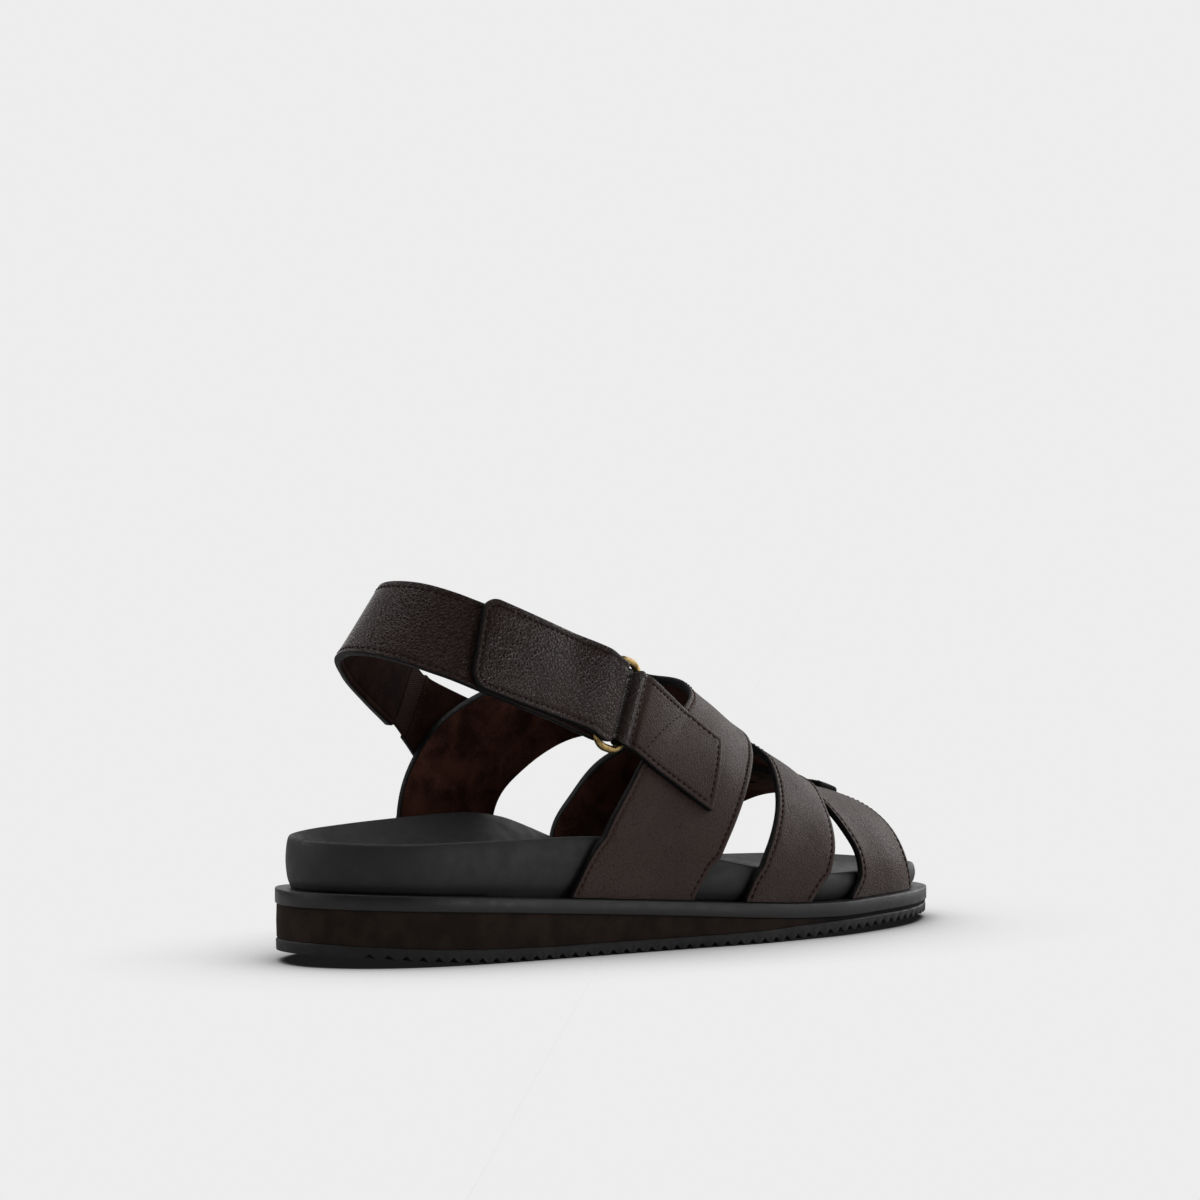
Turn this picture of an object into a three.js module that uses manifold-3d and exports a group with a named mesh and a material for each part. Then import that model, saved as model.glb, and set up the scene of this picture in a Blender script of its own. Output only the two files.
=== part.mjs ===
import * as THREE from 'three';
import ManifoldModule from 'manifold-3d';

const wasm = await ManifoldModule();
wasm.setup();

// A right sandal, in millimetres: X runs from heel to toe, Y to the inner side and Z up.
const LENGTH = 290;
const GAP = 0.3;
const SIDE_STATIONS = 54;

// Sole outline at the welt: half widths to the outer and inner side of the centre line.
const OUTLINE = [
  { x: 0, outer: 0, inner: 0 },
  { x: 3.5, outer: 12.8, inner: 13 },
  { x: 14.5, outer: 25.7, inner: 26 },
  { x: 35, outer: 35.4, inner: 35 },
  { x: 64, outer: 40.8, inner: 38.5 },
  { x: 101, outer: 44.3, inner: 37.5 },
  { x: 139, outer: 48.2, inner: 40 },
  { x: 174, outer: 51.9, inner: 47 },
  { x: 203, outer: 51.4, inner: 52 },
  { x: 232, outer: 46.2, inner: 51.5 },
  { x: 255, outer: 38.5, inner: 46.5 },
  { x: 274, outer: 26.7, inner: 37 },
  { x: 285.7, outer: 14.1, inner: 24 },
  { x: LENGTH, outer: -6, inner: 6 },
];

// Heights along the sole: underside, then the tops of the outsole, the wedge and the welt.
const LEVELS = [
  { x: 0, floor: 4.4, outsole: 8.4, wedge: 19.9, welt: 25.2 },
  { x: 14, floor: 3.2, outsole: 7.3, wedge: 19.4, welt: 24.7 },
  { x: 30, floor: 1.8, outsole: 6.1, wedge: 18.6, welt: 23.8 },
  { x: 62, floor: 0, outsole: 4.7, wedge: 16.7, welt: 21.9 },
  { x: 85, floor: 0, outsole: 4.3, wedge: 15.1, welt: 20.3 },
  { x: 116, floor: 0, outsole: 4.3, wedge: 12.9, welt: 18.1 },
  { x: 145, floor: 0, outsole: 4.2, wedge: 10.7, welt: 15.9 },
  { x: 165, floor: 0, outsole: 4.4, wedge: 9.2, welt: 14.4 },
  { x: 190, floor: 0.6, outsole: 5.1, wedge: 7.5, welt: 12.7 },
  { x: 212, floor: 1.7, outsole: 5.6, wedge: 6.9, welt: 12.1 },
  { x: 240, floor: 2.4, outsole: 5.9, wedge: 7.1, welt: 12.2 },
  { x: 266, floor: 2.6, outsole: 5.9, wedge: 7.1, welt: 12 },
  { x: LENGTH, floor: 2.6, outsole: 5.7, wedge: 6.8, welt: 11.5 },
];

// Footbed: how far its side stands in from the welt's edge, the height of its rim on each side,
// and the height of the bed along its middle.
const FOOTBED = [
  { x: 0, inset: 3.2, outer: 42.3, inner: 42.3, bed: 31 },
  { x: 30, inset: 4.8, outer: 41, inner: 43.2, bed: 31.5 },
  { x: 60, inset: 5.8, outer: 40.9, inner: 44.2, bed: 32 },
  { x: 97, inset: 6, outer: 40.7, inner: 45.2, bed: 31.5 },
  { x: 115, inset: 6, outer: 39, inner: 43.2, bed: 30 },
  { x: 130, inset: 6, outer: 36.2, inner: 38.6, bed: 28 },
  { x: 146, inset: 6, outer: 32.2, inner: 32.9, bed: 25.2 },
  { x: 173, inset: 6, outer: 26.2, inner: 26.6, bed: 20.8 },
  { x: 205, inset: 6, outer: 21.9, inner: 22.6, bed: 18 },
  { x: 239, inset: 6, outer: 21.2, inner: 21.7, bed: 17.8 },
  { x: 264, inset: 6, outer: 20.6, inner: 21.2, bed: 17.6 },
  { x: LENGTH, inset: 3, outer: 19.6, inner: 19.6, bed: 16.8 },
];

// Sides of the sole's layers: how far in each one stands at a share of its height.
const WEDGE_SIDE = [
  { share: 0, inset: 0.6 },
  { share: 0.45, inset: 0.4 },
  { share: 1, inset: 0.6 },
];
const WELT_SIDE = [
  { share: 0, inset: 0.3 },
  { share: 0.1, inset: 0 },
  { share: 0.9, inset: 0 },
  { share: 1, inset: 0.4 },
];
const FOOTBED_SIDE = [
  { share: 0, inset: 1.8 },
  { share: 0.22, inset: 0.5 },
  { share: 0.55, inset: 0 },
  { share: 0.9, inset: 0.7 },
  { share: 1, inset: 1.4 },
];

// Cup of the footbed: its rim, the ends of its middle line, and how its walls fall and where they bend.
const CUP = { rim: 2.4, heel: 26, toe: 266, fall: 2.2, bends: [0.04, 0.16, 0.36, 0.66] };

// Top of the foot: where its ridge runs, and how round each side is.
const RIDGE = [
  { x: 60, y: 2, z: 153 },
  { x: 90, y: 3, z: 136 },
  { x: 115, y: 4, z: 120.7 },
  { x: 140, y: 5.4, z: 105.3 },
  { x: 160, y: 7, z: 92.6 },
  { x: 175, y: 8, z: 81.8 },
  { x: 190, y: 8, z: 71.4 },
  { x: 205, y: 8, z: 63 },
  { x: 220, y: 8, z: 54.2 },
  { x: 235, y: 7, z: 49 },
  { x: 250, y: 6, z: 45.3 },
  { x: 264, y: 5, z: 39.3 },
  { x: LENGTH, y: 4, z: 24.6 },
];
const ROUNDNESS = { outer: 1.9, inner: 2.3 };
const FOOT_OF_STRAP = 1.4;

// Straps over the foot. A turn of -1 is the outer rim, 0 the ridge and 1 the inner rim;
// past the rims a strap runs straight down to the welt. Each row gives the strap's rear and front edge.
// The front one is in two bands, and the inner band ends on top of the outer one.
const STRAP_WALL = 2.6;
const STRAP_COLUMNS = 5;
const REAR_STRAP = {
  lift: 3.6,
  from: 0.62,
  to: 0.2,
  rows: [
    { turn: -1.4, rear: 89, front: 141.5 },
    { turn: -1, rear: 103.5, front: 153 },
    { turn: -0.85, rear: 115.5, front: 161 },
    { turn: -0.7, rear: 128, front: 170 },
    { turn: -0.5, rear: 148.5, front: 182.5 },
    { turn: -0.3, rear: 164, front: 193 },
    { turn: 0, rear: 171.3, front: 205 },
    { turn: 0.3, rear: 150.5, front: 192 },
    { turn: 0.5, rear: 132, front: 172 },
    { turn: 0.7, rear: 107, front: 147.5 },
    { turn: 0.85, rear: 85, front: 131.2 },
    { turn: 1, rear: 73, front: 115.8 },
    { turn: 1.4, rear: 71, front: 106 },
  ],
};
const MIDDLE_STRAP = {
  lift: 1.9,
  from: 0.62,
  to: 0.35,
  rows: [
    { turn: -1.4, rear: 163, front: 195.5 },
    { turn: -1, rear: 171, front: 205 },
    { turn: -0.85, rear: 178, front: 209.5 },
    { turn: -0.7, rear: 185, front: 213 },
    { turn: -0.5, rear: 193, front: 218.5 },
    { turn: -0.3, rear: 198, front: 226 },
    { turn: 0, rear: 199, front: 237 },
    { turn: 0.3, rear: 192, front: 230 },
    { turn: 0.5, rear: 182, front: 214 },
    { turn: 0.7, rear: 169, front: 198 },
    { turn: 0.85, rear: 158.5, front: 188.5 },
    { turn: 1, rear: 146, front: 178.5 },
    { turn: 1.4, rear: 141, front: 170 },
  ],
};
const FRONT_OUTER_STRAP = {
  lift: 0,
  from: 0.62,
  to: 0.35,
  rows: [
    { turn: -1.4, rear: 217, front: 263.5 },
    { turn: -1, rear: 223.5, front: 260 },
    { turn: -0.85, rear: 223, front: 257.6 },
    { turn: -0.7, rear: 220.5, front: 257 },
    { turn: -0.5, rear: 219, front: 257.3 },
    { turn: -0.3, rear: 218, front: 257.5 },
    { turn: 0, rear: 217, front: 256 },
    { turn: 0.125, rear: 216, front: 254 },
  ],
};
const FRONT_INNER_STRAP = {
  lift: 2.3,
  from: 0.62,
  to: 0.35,
  rows: [
    { turn: -0.0625, rear: 248, front: 257.5 },
    { turn: 0.125, rear: 242, front: 256 },
    { turn: 0.3, rear: 232, front: 251 },
    { turn: 0.5, rear: 219.5, front: 241.5 },
    { turn: 0.7, rear: 207.5, front: 232 },
    { turn: 0.85, rear: 199, front: 226.5 },
    { turn: 1, rear: 192, front: 222 },
    { turn: 1.4, rear: 188, front: 220 },
  ],
};

// Ribs round the edge of the outsole, cut in from the side and run out under the sole.
const OUTSOLE_INSET = 0.4;
const RIBS = { start: 9.7, end: 276, pitch: 5.39, land: 1.7, root: 3.6, depth: 1.7, reach: 15, least: 0.8 };

// Brass ring: wire, half length and half width to the middle of the wire, and its slope back and up.
const RING = {
  middle: { x: 112.5, y: -37.5, z: 85.4 },
  wire: 1.35,
  halfLength: 15.6,
  halfWidth: 6.2,
  corner: 5.2,
  slope: 18,
};

// Heel strap: middle line from the ring round the heel to the inner tab, with its inward lean in degrees.
// Inside the ring each of its edges is drawn in by the waist.
const HEEL_STRAP = {
  thick: 2.8,
  half: 14.7,
  halfByRing: 14.6,
  waist: 1.7,
  halfAtInsert: 14.4,
  narrows: 50,
  steps: 52,
  rows: [
    { x: 95, y: -34.9, z: 92.2, lean: 2 },
    { x: 75, y: -36.5, z: 98.9, lean: 5 },
    { x: 57, y: -34.5, z: 105.6, lean: 10 },
    { x: 43.5, y: -29.5, z: 111.1, lean: 19 },
    { x: 35, y: -19.5, z: 115, lean: 29 },
    { x: 31.5, y: -6, z: 116.2, lean: 36 },
    { x: 35.2, y: 7, z: 114, lean: 33 },
    { x: 43.5, y: 15.5, z: 107.8, lean: 25 },
    { x: 57.3, y: 24, z: 98.9, lean: 14 },
    { x: 75, y: 33.2, z: 88.2, lean: 5 },
    { x: 83.5, y: 37.2, z: 82.4, lean: 3 },
    { x: 94, y: 40.6, z: 75, lean: 0 },
  ],
};

// Its end, folded round the ring and laid back over the strap: lengths are measured from the ring.
const FLAP = {
  length: 61,
  half: 15.9,
  slack: 1.6,
  sitsHigher: 0.45,
  rise: 1.3,
  risesOver: 8,
  gap: 0.4,
  settlesFrom: 5,
  settles: 24,
  corner: 6,
  slant: 1.3,
  slantOver: 30,
  step: 5,
};
const STRETCH_INSERT = { thick: 1.8, half: 12.2, fromX: 75.5, toX: 83 };

// Tabs that lie on the rear strap: each row gives the place of the tab's upper and lower edge.
const TAB_COLUMNS = 5;
const TAB_GAP = 0.55;
const INNER_TAB = {
  thick: 2.2,
  half: 13,
  rows: [
    { upperX: 105, upperTurn: 0.73, lowerX: 85, lowerTurn: 0.92 },
    { upperX: 112, upperTurn: 0.73, lowerX: 94, lowerTurn: 0.945 },
    { upperX: 119.5, upperTurn: 0.731, lowerX: 104.5, lowerTurn: 0.965 },
  ],
};
const RING_TAB = {
  thick: 2.2,
  half: 13.5,
  waist: 1.6,
  sitsHigher: 0.2,
  room: 0.65,
  tail: 8,
  rows: [
    { upperX: 163, upperTurn: -0.55, lowerX: 149, lowerTurn: -0.856 },
    { upperX: 156, upperTurn: -0.53, lowerX: 137.5, lowerTurn: -0.82 },
    { upperX: 150, upperTurn: -0.512, lowerX: 127, lowerTurn: -0.79 },
  ],
};

const COLOURS = {
  outsole: { color: 0x17181a, roughness: 0.85, metalness: 0 },
  midsole: { color: 0x33261f, roughness: 0.95, metalness: 0 },
  welt: { color: 0x2b2c2f, roughness: 0.8, metalness: 0 },
  footbed: { color: 0x3a3b3d, roughness: 0.75, metalness: 0 },
  leather: { color: 0x3a2c26, roughness: 0.5, metalness: 0 },
  stretch: { color: 0x3a231c, roughness: 0.9, metalness: 0 },
  brass: { color: 0x9a7a3c, roughness: 0.35, metalness: 1 },
};

// Smooth curve through table rows that never overshoots them.
function curve(rows, from, to, warp = (value) => value) {
  const xs = rows.map((row) => warp(row[from]));
  const ys = rows.map((row) => row[to]);
  const steps = xs.slice(1).map((x, i) => x - xs[i]);
  const rises = steps.map((step, i) => (ys[i + 1] - ys[i]) / step);
  const slopes = xs.map((_, i) => {
    if (i === 0) return rises[0];
    if (i === xs.length - 1) return rises[i - 1];
    if (rises[i - 1] * rises[i] <= 0) return 0;
    const near = 2 * steps[i] + steps[i - 1];
    const far = steps[i] + 2 * steps[i - 1];
    return (near + far) / (near / rises[i - 1] + far / rises[i]);
  });
  return (value) => {
    const v = THREE.MathUtils.clamp(warp(value), xs[0], xs[xs.length - 1]);
    let i = 0;
    while (i < steps.length - 1 && v > xs[i + 1]) i += 1;
    const t = (v - xs[i]) / steps[i];
    const start = ys[i] * (1 + 2 * t) * (1 - t) ** 2 + steps[i] * slopes[i] * t * (1 - t) ** 2;
    const end = ys[i + 1] * t * t * (3 - 2 * t) + steps[i] * slopes[i + 1] * t * t * (t - 1);
    return start + end;
  };
}

const smooth = (from, to, value) => {
  const t = THREE.MathUtils.clamp((value - from) / (to - from), 0, 1);
  return t * t * (3 - 2 * t);
};

// The sole is followed by an angle that runs evenly round its blunt heel and toe.
const angleAt = (x) => Math.acos(THREE.MathUtils.clamp(1 - (2 * x) / LENGTH, -1, 1));
const xAt = (angle) => (LENGTH / 2) * (1 - Math.cos(angle));
const outerWidth = curve(OUTLINE, 'x', 'outer', angleAt);
const innerWidth = curve(OUTLINE, 'x', 'inner', angleAt);
const sideY = { outer: (x) => -outerWidth(x), inner: (x) => innerWidth(x) };

const level = {};
for (const name of ['floor', 'outsole', 'wedge', 'welt']) level[name] = curve(LEVELS, 'x', name);
const rim = { outer: curve(FOOTBED, 'x', 'outer'), inner: curve(FOOTBED, 'x', 'inner') };
const bed = curve(FOOTBED, 'x', 'bed');
const footbedInset = curve(FOOTBED, 'x', 'inset');
const ridgeY = curve(RIDGE, 'x', 'y');
const ridgeZ = curve(RIDGE, 'x', 'z');

// A point of the outline, moved inward along its normal.
function outlinePoint(side, x, inset) {
  const turn = 0.004;
  const angle = THREE.MathUtils.clamp(angleAt(x), turn, Math.PI - turn);
  const before = xAt(angle - turn);
  const after = xAt(angle + turn);
  const along = new THREE.Vector2(after - before, sideY[side](after) - sideY[side](before)).normalize();
  const inward = side === 'outer' ? 1 : -1;
  return new THREE.Vector2(x - inward * along.y * inset, sideY[side](x) + inward * along.x * inset);
}

// Side position of the inset outline at a given x.
function insetY(side, x, inset) {
  let station = x;
  let point = outlinePoint(side, station, inset);
  for (let i = 0; i < 8; i += 1) {
    station = THREE.MathUtils.clamp(station + x - point.x, 0.5, LENGTH - 0.5);
    point = outlinePoint(side, station, inset);
  }
  return point.y;
}

// A closed loop round the sole, moved in from the outline: heel, outer side, toe, inner side.
function soleRing(stations, inset, height) {
  const insetAt = typeof inset === 'number' ? () => inset : inset;
  const heel = insetAt(0);
  const ring = [new THREE.Vector3(heel, 0, height(heel, 0))];
  const place = (side, x) => {
    const point = outlinePoint(side, x, insetAt(x));
    return new THREE.Vector3(point.x, point.y, height(point.x, x, side));
  };
  for (const x of stations) ring.push(place('outer', x));
  const toe = LENGTH - insetAt(LENGTH);
  ring.push(new THREE.Vector3(toe, sideY.inner(LENGTH), height(toe, LENGTH)));
  for (const x of [...stations].reverse()) ring.push(place('inner', x));
  return ring;
}

function geometryOf(points, triangles) {
  let volume = 0;
  for (const [a, b, c] of triangles) {
    volume += points[a].dot(new THREE.Vector3().crossVectors(points[b], points[c]));
  }
  const faces = volume < 0 ? triangles.map(([a, b, c]) => [a, c, b]) : triangles;
  const geometry = new THREE.BufferGeometry();
  const positions = points.flatMap((point) => [point.x, point.y, point.z]);
  geometry.setAttribute('position', new THREE.Float32BufferAttribute(positions, 3));
  geometry.setIndex(faces.flat());
  geometry.computeVertexNormals();
  return geometry;
}

// A solid through equal loops. The first and last loop are closed by a strip across, unless the solid
// runs round on itself.
function loft(loops, shape = 'strip') {
  const size = loops[0].length;
  const points = loops.flat();
  const triangles = [];
  const around = shape === 'round' ? loops.length : loops.length - 1;
  for (let j = 0; j < around; j += 1) {
    const low = j * size;
    const high = ((j + 1) % loops.length) * size;
    for (let i = 0; i < size; i += 1) {
      const next = (i + 1) % size;
      triangles.push([low + i, low + next, high + next]);
      triangles.push([low + i, high + next, high + i]);
    }
  }
  if (shape !== 'round') {
    closeStrip(triangles, size, 0, shape, true);
    closeStrip(triangles, size, (loops.length - 1) * size, shape, false);
  }
  return geometryOf(points, triangles);
}

// Strip across one end loop. A 'sole' loop has a single point at its heel and at its toe.
function closeStrip(triangles, size, first, shape, flip) {
  const add = (a, b, c) => {
    triangles.push(flip ? [first + a, first + c, first + b] : [first + a, first + b, first + c]);
  };
  if (shape === 'sole') {
    for (let i = 0; i < size / 2; i += 1) {
      const a = i;
      const b = i + 1;
      const c = (size - i - 1) % size;
      const d = (size - i) % size;
      if (b !== c) add(a, b, c);
      if (a !== d) add(a, c, d);
    }
    return;
  }
  for (let i = 0; i < size / 2 - 1; i += 1) {
    add(i, i + 1, size - 2 - i);
    add(i, size - 2 - i, size - 1 - i);
  }
}

const evenStations = [];
for (let k = 1; k <= SIDE_STATIONS; k += 1) {
  evenStations.push(xAt((Math.PI * k) / (SIDE_STATIONS + 1)));
}

// Outsole with its ribs: flat under the foot, ribbed at the edge.
function makeOutsole() {
  const cuts = new Map();
  for (let x = RIBS.start; x < RIBS.end; x += RIBS.pitch) {
    cuts.set(x, 0);
    cuts.set(x + RIBS.land, 0);
    cuts.set(x + RIBS.root, RIBS.depth);
  }
  const ribs = [...cuts.keys()].sort((a, b) => a - b);
  const plain = (x) => x < ribs[0] - RIBS.least || x > ribs[ribs.length - 1] + RIBS.least;
  const stations = [...evenStations.filter(plain), ...ribs].sort((a, b) => a - b);
  const under = (x) => level.floor(x);
  const top = (x) => level.outsole(x);
  const edge = (x, station) => {
    const deepest = top(station) - under(station) - RIBS.least;
    return under(station) + Math.min(cuts.get(station) ?? 0, deepest);
  };
  return loft([
    soleRing(stations, RIBS.reach, under),
    soleRing(stations, OUTSOLE_INSET, edge),
    soleRing(stations, OUTSOLE_INSET, top),
  ], 'sole');
}

// Loops up the side of a layer, between its underside and its top.
function sideRings(profile, low, high, insetAt = () => 0) {
  return profile.map(({ share, inset }) => soleRing(
    evenStations,
    (x) => insetAt(x) + inset,
    (x, station, half) => THREE.MathUtils.lerp(low(x), high(x, station, half), share),
  ));
}

function makeMidsole() {
  const low = (x) => level.outsole(x) + GAP;
  return loft(sideRings(WEDGE_SIDE, low, level.wedge), 'sole');
}

function makeWelt() {
  const low = (x) => level.wedge(x) + GAP;
  return loft(sideRings(WELT_SIDE, low, level.welt), 'sole');
}

// Footbed: its side bulges and tucks in below, its rim is thin and its bed is cupped.
function makeFootbed() {
  const low = (x) => level.welt(x) + GAP;
  const top = (x, station, half) => rim[half ?? 'outer'](x);
  const rimRing = soleRing(evenStations, (x) => footbedInset(x) + CUP.rim, top);
  const inward = (share) => rimRing.map((point) => {
    const x = THREE.MathUtils.clamp(point.x, CUP.heel, CUP.toe);
    const y = 0.5 * (sideY.outer(x) + sideY.inner(x));
    const moved = point.clone().lerp(new THREE.Vector3(x, y, point.z), share);
    moved.z = THREE.MathUtils.lerp(bed(moved.x), point.z, (1 - share) ** CUP.fall);
    return moved;
  });
  return loft([...sideRings(FOOTBED_SIDE, low, top, footbedInset), ...CUP.bends.map(inward)], 'sole');
}

// Point over the foot at a place along it and a turn round it, some way out from the foot.
function overFoot(x, turn, out) {
  const side = turn < 0 ? 'outer' : 'inner';
  const away = Math.abs(turn);
  const rimY = insetY(side, x, footbedInset(x) - GAP - out);
  const rimZ = rim[side](x);
  if (away > 1) {
    const share = (away - 1) / (FOOT_OF_STRAP - 1);
    return new THREE.Vector3(x, rimY, THREE.MathUtils.lerp(rimZ, level.welt(x) + GAP, share));
  }
  const slope = (ridgeZ(x + 1) - ridgeZ(x - 1)) / 2;
  const topY = ridgeY(x);
  const topZ = ridgeZ(x) + out * Math.hypot(1, slope);
  const power = 2 / ROUNDNESS[side];
  const sideShare = Math.sin((away * Math.PI) / 2) ** power;
  const topShare = Math.max(0, Math.cos((away * Math.PI) / 2)) ** power;
  return new THREE.Vector3(
    x,
    topY + (rimY - topY) * sideShare,
    rimZ + (topZ - rimZ) * topShare,
  );
}

const liftOf = (strap, turn) => strap.lift * smooth(strap.from, strap.to, Math.abs(turn));

const strapTurns = [-FOOT_OF_STRAP, -1.2];
for (let k = 0; k <= 32; k += 1) strapTurns.push(-1 + k / 16);
strapTurns.push(1.2, FOOT_OF_STRAP);

function makeStrap(strap) {
  const rear = curve(strap.rows, 'turn', 'rear');
  const front = curve(strap.rows, 'turn', 'front');
  const start = strap.rows[0].turn;
  const end = strap.rows[strap.rows.length - 1].turn;
  return loft(strapTurns.filter((turn) => turn >= start && turn <= end).map((turn) => {
    const low = liftOf(strap, turn);
    const inside = [];
    const outside = [];
    for (let c = 0; c <= STRAP_COLUMNS; c += 1) {
      const x = THREE.MathUtils.lerp(rear(turn), front(turn), c / STRAP_COLUMNS);
      inside.push(overFoot(x, turn, low));
      outside.unshift(overFoot(x, turn, low + STRAP_WALL));
    }
    return [...inside, ...outside];
  }));
}

function solidOf(geometry) {
  const mesh = new wasm.Mesh({
    numProp: 3,
    vertProperties: new Float32Array(geometry.getAttribute('position').array),
    triVerts: new Uint32Array(geometry.getIndex().array),
  });
  return new wasm.Manifold(mesh);
}

// The straps over the foot, joined where they lap on the ridge.
function makeUpper() {
  const joined = [REAR_STRAP, MIDDLE_STRAP, FRONT_OUTER_STRAP, FRONT_INNER_STRAP]
    .map((strap) => solidOf(makeStrap(strap)))
    .reduce((whole, strap) => whole.add(strap));
  const mesh = joined.getMesh();
  const geometry = new THREE.BufferGeometry();
  geometry.setAttribute('position', new THREE.BufferAttribute(new Float32Array(mesh.vertProperties), 3));
  geometry.setIndex(new THREE.BufferAttribute(new Uint32Array(mesh.triVerts), 1));
  geometry.computeVertexNormals();
  return geometry;
}

// A strip of leather from the rows of points along the middle of its thickness, lower edge to upper edge.
function ribbon(rows, thick) {
  const last = rows.length - 1;
  const side = rows[0].length - 1;
  return loft(rows.map((row, i) => {
    const under = [];
    const over = [];
    row.forEach((point, j) => {
      const along = rows[Math.min(last, i + 1)][j].clone().sub(rows[Math.max(0, i - 1)][j]);
      const across = row[Math.min(side, j + 1)].clone().sub(row[Math.max(0, j - 1)]);
      const out = across.cross(along).setLength(thick / 2);
      under.push(point.clone().sub(out));
      over.unshift(point.clone().add(out));
    });
    return [...under, ...over];
  }));
}

// A straight row across a strip.
function straightRow(point, across, half, columns = 1) {
  const row = [];
  for (let c = 0; c <= columns; c += 1) {
    row.push(point.clone().addScaledVector(across, half * ((2 * c) / columns - 1)));
  }
  return row;
}

// Frame of the ring: along its length, back along the strap, and out from the foot.
const slope = THREE.MathUtils.degToRad(RING.slope);
const ringAlong = new THREE.Vector3(Math.sin(slope), 0, Math.cos(slope));
const ringBack = new THREE.Vector3(-Math.cos(slope), 0, Math.sin(slope));
const ringOut = new THREE.Vector3(0, -1, 0);
const ringMiddle = new THREE.Vector3(RING.middle.x, RING.middle.y, RING.middle.z);
const rearBar = ringMiddle.clone().addScaledVector(ringBack, RING.halfWidth);
const frontBar = ringMiddle.clone().addScaledVector(ringBack, -RING.halfWidth);

function makeRing() {
  const path = [];
  const straightLength = RING.halfLength - RING.corner;
  const straightWidth = RING.halfWidth - RING.corner;
  for (let quarter = 0; quarter < 4; quarter += 1) {
    const signLength = quarter === 0 || quarter === 3 ? 1 : -1;
    const signWidth = quarter < 2 ? 1 : -1;
    for (let k = 0; k <= 4; k += 1) {
      const angle = ((quarter + k / 4) * Math.PI) / 2;
      const outward = ringAlong.clone().multiplyScalar(Math.cos(angle));
      outward.addScaledVector(ringBack, Math.sin(angle));
      const point = ringMiddle.clone()
        .addScaledVector(ringAlong, signLength * straightLength)
        .addScaledVector(ringBack, signWidth * straightWidth)
        .addScaledVector(outward, RING.corner);
      path.push({ point, outward });
    }
  }
  return loft(path.map(({ point, outward }) => {
    const loop = [];
    for (let k = 0; k < 8; k += 1) {
      const angle = (k * Math.PI) / 4;
      loop.push(point.clone()
        .addScaledVector(outward, RING.wire * Math.cos(angle))
        .addScaledVector(ringOut, RING.wire * Math.sin(angle)));
    }
    return loop;
  }), 'round');
}

// Fold of a strip round a bar of the ring, with some room, from its outer side to its inner side.
// The waist is what each of its edges is drawn in by halfway round.
function foldRows(bar, towards, { half, waist, thick, columns, room }) {
  const radius = RING.wire + room + thick / 2;
  const rows = [];
  for (let k = 0; k <= 10; k += 1) {
    const angle = (k * Math.PI) / 10;
    const point = bar.clone()
      .addScaledVector(ringOut, radius * Math.cos(angle))
      .addScaledVector(towards, radius * Math.sin(angle));
    rows.push(straightRow(point, ringAlong, half - waist * Math.sin(angle), columns));
  }
  return rows;
}

// Middle line of the heel strap, from its loose fold in the ring round the heel and on to the inner tab.
const heelFold = rearBar.clone()
  .addScaledVector(ringBack, -FLAP.slack)
  .addScaledVector(ringAlong, FLAP.sitsHigher);
const strapStart = heelFold.clone()
  .addScaledVector(ringOut, -(RING.wire + GAP + HEEL_STRAP.thick / 2));
const heelLine = new THREE.CatmullRomCurve3([
  strapStart,
  ...HEEL_STRAP.rows.map((row) => new THREE.Vector3(row.x, row.y, row.z)),
], false, 'centripetal');
heelLine.arcLengthDivisions = 800;
const heelLength = heelLine.getLength();
const leanTable = [{ share: 0, lean: 0 }];
HEEL_STRAP.rows.forEach((row, i) => {
  leanTable.push({ share: (i + 1) / HEEL_STRAP.rows.length, lean: row.lean });
});
const leanAt = curve(leanTable, 'share', 'lean');

// Frame of the heel strap at a distance along it: its place, its width and its outer side.
function heelFrame(distance) {
  const share = THREE.MathUtils.clamp(distance / heelLength, 0, 1);
  const place = heelLine.getPointAt(share);
  const along = heelLine.getTangentAt(share);
  const flat = new THREE.Vector3(-along.y, along.x, 0).normalize();
  const up = along.clone().cross(flat);
  const lean = THREE.MathUtils.degToRad(leanAt(heelLine.getUtoTmapping(share)));
  const across = up.multiplyScalar(Math.cos(lean)).addScaledVector(flat, -Math.sin(lean)).normalize();
  const out = across.clone().cross(along).normalize();
  return { place, across, out };
}

// Distance along the strap, past its rearmost bend, where it reaches a given x on the inner side.
function distanceAtX(x) {
  let distance = heelLength * 0.55;
  while (distance < heelLength && heelLine.getPointAt(distance / heelLength).x < x) distance += 0.1;
  return Math.min(distance, heelLength);
}
const insertStart = distanceAtX(STRETCH_INSERT.fromX);
const insertEnd = distanceAtX(STRETCH_INSERT.toX);

// Half widths of the flap and the strap, which widen evenly from the ring on.
const widening = (distance, full) => THREE.MathUtils.lerp(
  HEEL_STRAP.halfByRing,
  full,
  THREE.MathUtils.clamp(distance / FLAP.length, 0, 1),
);
const strapHalf = (distance) => THREE.MathUtils.lerp(
  widening(distance, HEEL_STRAP.half),
  HEEL_STRAP.halfAtInsert,
  smooth(insertStart - HEEL_STRAP.narrows, insertStart, distance),
);

// Distances from the ring of the flap's rows: round its end corners, then on to the ring.
function flapStops() {
  const stops = [];
  for (let k = 0; k <= 6; k += 1) {
    stops.push(FLAP.length - FLAP.corner * (1 - Math.cos((k * Math.PI) / 12)));
  }
  for (let d = FLAP.length - FLAP.corner - FLAP.step; d > 0; d -= FLAP.step) stops.push(d);
  return stops;
}

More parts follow.
